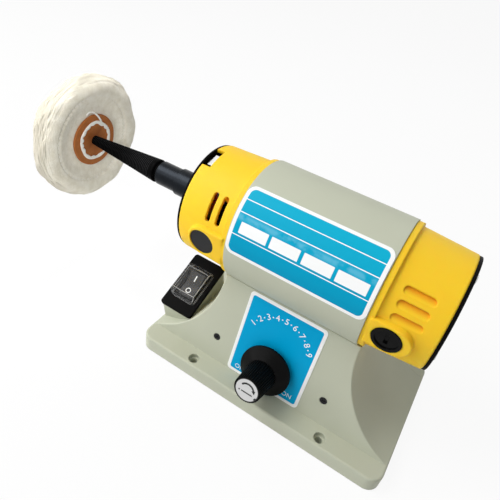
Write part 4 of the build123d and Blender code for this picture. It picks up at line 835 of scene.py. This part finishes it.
black_knob = moulded(
    "black_knob", (0.002, 0.002, 0.002), (0.004, 0.004, 0.004), 0.40, 0.006, 0.25, Specular_IOR_Level=0.05
)
dress(black_knob, "speed_knob")
satin_disc, disc_shader = new_finish("satin_disc", Metallic=0.55, Specular_IOR_Level=0.5)
disc_tree = disc_shader.id_data
brushing = speckle(disc_tree, 0.4, 2.0, (40.0, 1.0, 1.0))
brushed = between(brushing, (0.57, 0.57, 0.57), (0.69, 0.69, 0.69))
disc_x, disc_y, disc_z = position(disc_tree)
knob_middle = float(panel_foot @ panel_up) + knob_rise
disc_up = disc_y * float(panel_up[1]) + disc_z * float(panel_up[2]) - knob_middle
inside_edge = (disc_x * disc_x + disc_up * disc_up).step("SQRT").below(disc_bright, 0.2)
feed(disc_shader.inputs["Base Color"], between(inside_edge, (0.006, 0.006, 0.006), brushed))
feed(disc_shader.inputs["Roughness"], brushing * 0.15 + 0.36)
relief(disc_shader, brushing, 0.01)
dress(satin_disc, "knob_cap")


def arc_strokes(radius, start, end, width, count):
    """Arc of ink as a row of short bars end to end, from one angle to another."""
    angles = np.linspace(start, end, count + 1)
    return [stroke(dial(a, radius), dial(b, radius), width) for a, b in zip(angles[:-1], angles[1:])]


def arrow_head(angle, radius, size):
    """Triangle of ink at the end of the arc, pointing clockwise along it."""
    along = np.array([np.sin(radians(angle)), -np.cos(radians(angle))])
    outward = np.array([np.cos(radians(angle)), np.sin(radians(angle))])
    base = dial(angle, radius)
    flat = np.array([base + outward * size, base - outward * size, base + along * 1.9 * size])
    points = np.concatenate([np.column_stack([flat, np.full(3, h)]) for h in (0.0, ink_thickness)])
    return points, [[0, 1, 2], [5, 4, 3], [0, 3, 4, 1], [1, 4, 5, 2], [2, 5, 3, 0]]


mark_shapes = arc_strokes(arc_radius, arc_start, arc_end, arc_width, 24)
mark_shapes += [
    arrow_head(arc_end + 2.0, arc_radius, arrow_size),
    stroke((line_start, line_height), (line_end, line_height), line_width),
    stroke((dot_start, line_height), (dot_end, line_height), dot_width),
    stroke(dial(pointer_angle, pointer_start), dial(pointer_angle, pointer_end), pointer_width),
]

black_print, mark_shader = new_finish("black_print", Specular_IOR_Level=0.3)
mark_tree = mark_shader.id_data
feed(
    mark_shader.inputs["Base Color"],
    between(speckle(mark_tree, 1.0), (0.008, 0.008, 0.008), (0.018, 0.018, 0.018)),
)
feed(mark_shader.inputs["Roughness"], speckle(mark_tree, 2.0) * 0.1 + 0.4)

knob_marks = slabs("knob_marks", mark_shapes, lambda flat: on_panel(flat, disc_height + flat[:, 2:]))
knob_marks.data.materials.append(black_print)
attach(knob_marks, "knob")

# Speed board: green lacquered board with a film capacitor and a triac, on spacers behind the panel.
# The board's copper shows faintly through the lacquer, and the capacitor is a moulded box.

board_lacquer, board_shader = new_finish("board_lacquer", Roughness=0.35, Coat_Weight=0.3)
board_tree = board_shader.id_data
board_x, _, board_z = position(board_tree)
tracks = (board_x * 1.3).sine() * (board_z * 0.9).sine()
feed(
    board_shader.inputs["Base Color"],
    between(tracks.below(0.1, 0.1), (0.045, 0.19, 0.06), (0.014, 0.085, 0.03)),
)
dress(board_lacquer, "speed_board")
dress(moulded("capacitor_box", (0.50, 0.32, 0.03), (0.58, 0.38, 0.05), 0.4, 0.01, 0.4), "film_capacitor")

# Rocker switch: black plate, body and rocker under a clear cover that keeps dust out.
# The rocker is marked with a white bar and a white ring. The soft clear cover is clipped over the
# frame of the switch: it is seen by a faint painted sheen on its flats and by painted highlights along its
# edges.

switch_tilt, rocker_throw = radians(26.0), radians(9.0)
switch_middle = np.array([-81.8, -17.5, 41.9])
rocker_pivot_depth, rocker_middle, rocker_end, rocker_half = 3.5, 0.8, 2.2, 10.2
bar_half, bar_width, ring_radius, ring_width = 2.4, 0.9, 1.8, 0.55
cover_round = 0.6

black_rocker = moulded(
    "black_rocker", (0.010, 0.010, 0.010), (0.015, 0.015, 0.015), 0.35, 0.005, 0.3, Specular_IOR_Level=0.15
)
dress(black_rocker, "switch_rocker")
clear_cover, cover_shader = new_finish("clear_cover", Specular_IOR_Level=0.3)
cover_tree = cover_shader.id_data
cover_corner = cover_tree.nodes.new("ShaderNodeBevel")
cover_corner.samples = 6
cover_corner.inputs["Radius"].default_value = cover_round / 1000.0
cover_bend = cover_tree.nodes.new("ShaderNodeVectorMath")
cover_bend.operation = "DOT_PRODUCT"
feed(cover_bend.inputs[0], cover_corner.outputs["Normal"])
feed(cover_bend.inputs[1], cover_tree.nodes.new("ShaderNodeNewGeometry").outputs["True Normal"])
painted_edge_highlight = Field(cover_bend.outputs["Value"]).below(0.965, 0.06)
painted_sheen = speckle(cover_tree, 3.0, 3.0)
feed(cover_shader.inputs["Base Color"], between(painted_sheen, (0.80, 0.82, 0.82), (0.92, 0.92, 0.92)))
feed(cover_shader.inputs["Roughness"], painted_sheen * 0.12 + 0.08)
# The alpha paints the cover whitish: painted highlights along its edges and a faint painted sheen over its
# flats.
feed(cover_shader.inputs["Alpha"], painted_edge_highlight * 0.55 + painted_sheen * 0.02 + 0.008)
dress(clear_cover, "switch_cover")


def rocker_face(upper):
    """Frame of the rocker's upper or lower flat: its middle, and its directions along and out."""
    tilt = switch_tilt + rocker_throw
    ahead = np.array([0.0, np.cos(tilt), np.sin(tilt)])
    out = np.array([0.0, -np.sin(tilt), np.cos(tilt)])
    pivot = switch_middle - rocker_pivot_depth * np.array([0.0, -np.sin(switch_tilt), np.cos(switch_tilt)])
    side = 1.0 if upper else -1.0
    rise = rocker_end - rocker_middle
    middle = pivot + side * rocker_half / 2 * ahead + (rocker_pivot_depth + rocker_middle + rise / 2) * out
    along = side * rocker_half * ahead + rise * out
    along = side * along / np.linalg.norm(along)
    return middle, along, np.cross((1.0, 0.0, 0.0), along)


def on_rocker(flat, upper):
    """Points given across and up from the middle of a rocker flat, at a height out from it."""
    middle, along, out = rocker_face(upper)
    return middle + flat[:, :1] * np.array([1.0, 0.0, 0.0]) + flat[:, 1:2] * along + flat[:, 2:] * out


bar = stroke((0.0, -bar_half), (0.0, bar_half), bar_width)
bar_mark = slabs("bar_mark", [bar], lambda flat: on_rocker(flat, True))
ring = arc_strokes(ring_radius, 0.0, 360.0, ring_width, 36)
ring_mark = slabs("ring_mark", ring, lambda flat: on_rocker(flat, False))
for mark in (bar_mark, ring_mark):
    mark.data.materials.append(white_print)
    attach(mark, "rocker")

# Studio: a pale floor, a white surround and soft lamps, with the camera where the photograph was taken.
# The floor and the surround look white to the eye and in reflections, and light the object plainly;
# two small lamps with grids bring out the cloth of the buff, from the front and from above.

floor_half, floor_drop, floor_white = 4.0, -0.0004, 0.91
surround_light = 0.35
object_middle, buff_place = (-0.05, 0.0, 0.07), (-0.205, 0.0, 0.111)


def seen_rays(tree):
    """1 for rays that the camera, a reflection or a clear piece sends out, and 0 for the rest."""
    path = tree.nodes.new("ShaderNodeLightPath")
    seen = Field(path.outputs["Is Camera Ray"]).most(Field(path.outputs["Is Glossy Ray"]))
    return seen.most(Field(path.outputs["Is Transmission Ray"]))


floor_mesh = bpy.data.meshes.new("floor")
corner_signs = ((-1, -1), (1, -1), (1, 1), (-1, 1))
floor_corners = [(x * floor_half, y * floor_half, floor_drop) for x, y in corner_signs]
floor_mesh.from_pydata(floor_corners, [], [(0, 1, 2, 3)])
floor = bpy.data.objects.new("floor", floor_mesh)
bpy.context.scene.collection.objects.link(floor)
floor_paint, floor_shader = new_finish(
    "floor_paint", Base_Color=(0.86, 0.86, 0.86, 1.0), Roughness=0.9, Specular_IOR_Level=0.0
)
floor_tree = floor_shader.id_data
floor_glow = floor_tree.nodes.new("ShaderNodeEmission")
floor_mix = floor_tree.nodes.new("ShaderNodeMixShader")
feed(floor_mix.inputs["Fac"], seen_rays(floor_tree) * floor_white)
feed(floor_mix.inputs[1], floor_shader.outputs["BSDF"])
feed(floor_mix.inputs[2], floor_glow.outputs["Emission"])
feed(floor_tree.nodes["Material Output"].inputs["Surface"], floor_mix.outputs["Shader"])
floor_mesh.materials.append(floor_paint)

world = bpy.data.worlds.new("surround")
bpy.context.scene.world = world
world.use_nodes = True
surround = world.node_tree.nodes["Background"]
surround.inputs["Color"].default_value = (1.0, 1.0, 1.0, 1.0)
feed(surround.inputs["Strength"], seen_rays(world.node_tree) * (1.0 - surround_light) + surround_light)


def soft_lamp(name, place, aim, size, watts, beam=180.0):
    """Square area lamp at a place, turned to face the aim; a grid in front narrows its beam to an angle."""
    lamp = bpy.data.lights.new(name, "AREA")
    lamp.size, lamp.energy, lamp.spread = size, watts, radians(beam)
    holder = bpy.data.objects.new(name, lamp)
    holder.location = place
    holder.rotation_euler = (Vector(aim) - Vector(place)).to_track_quat("-Z", "Y").to_euler()
    bpy.context.scene.collection.objects.link(holder)


soft_lamp("key_lamp", (-0.70, -0.30, 1.00), object_middle, 0.6, 7.3)
soft_lamp("front_lamp", (-0.60, -0.90, 0.80), object_middle, 0.8, 4.0)
soft_lamp("side_lamp", (-2.35, -1.00, 0.53), object_middle, 1.4, 24.0)
soft_lamp("rear_lamp", (-0.10, 0.60, 1.00), object_middle, 0.6, 1.5)
soft_lamp("buff_lamp", (-0.06, -0.27, 0.27), buff_place, 0.10, 0.031, 40.0)
soft_lamp("rim_lamp", (-0.215, 0.05, 0.50), (-0.207, 0.0, 0.155), 0.10, 0.042, 30.0)

lens = bpy.data.cameras.new("camera")
lens.sensor_width, lens.lens = 36.0, 34.112
lens.clip_start, lens.clip_end = 0.01, 20.0
camera = bpy.data.objects.new("camera", lens)
camera.location = (0.06318, -0.24217, 0.28907)
camera.rotation_euler = Euler([radians(turn) for turn in (51.8709, -9.0990, 31.8891)], "XYZ")
bpy.context.scene.collection.objects.link(camera)
bpy.context.scene.camera = camera
bpy.context.scene.view_settings.view_transform = "Standard"
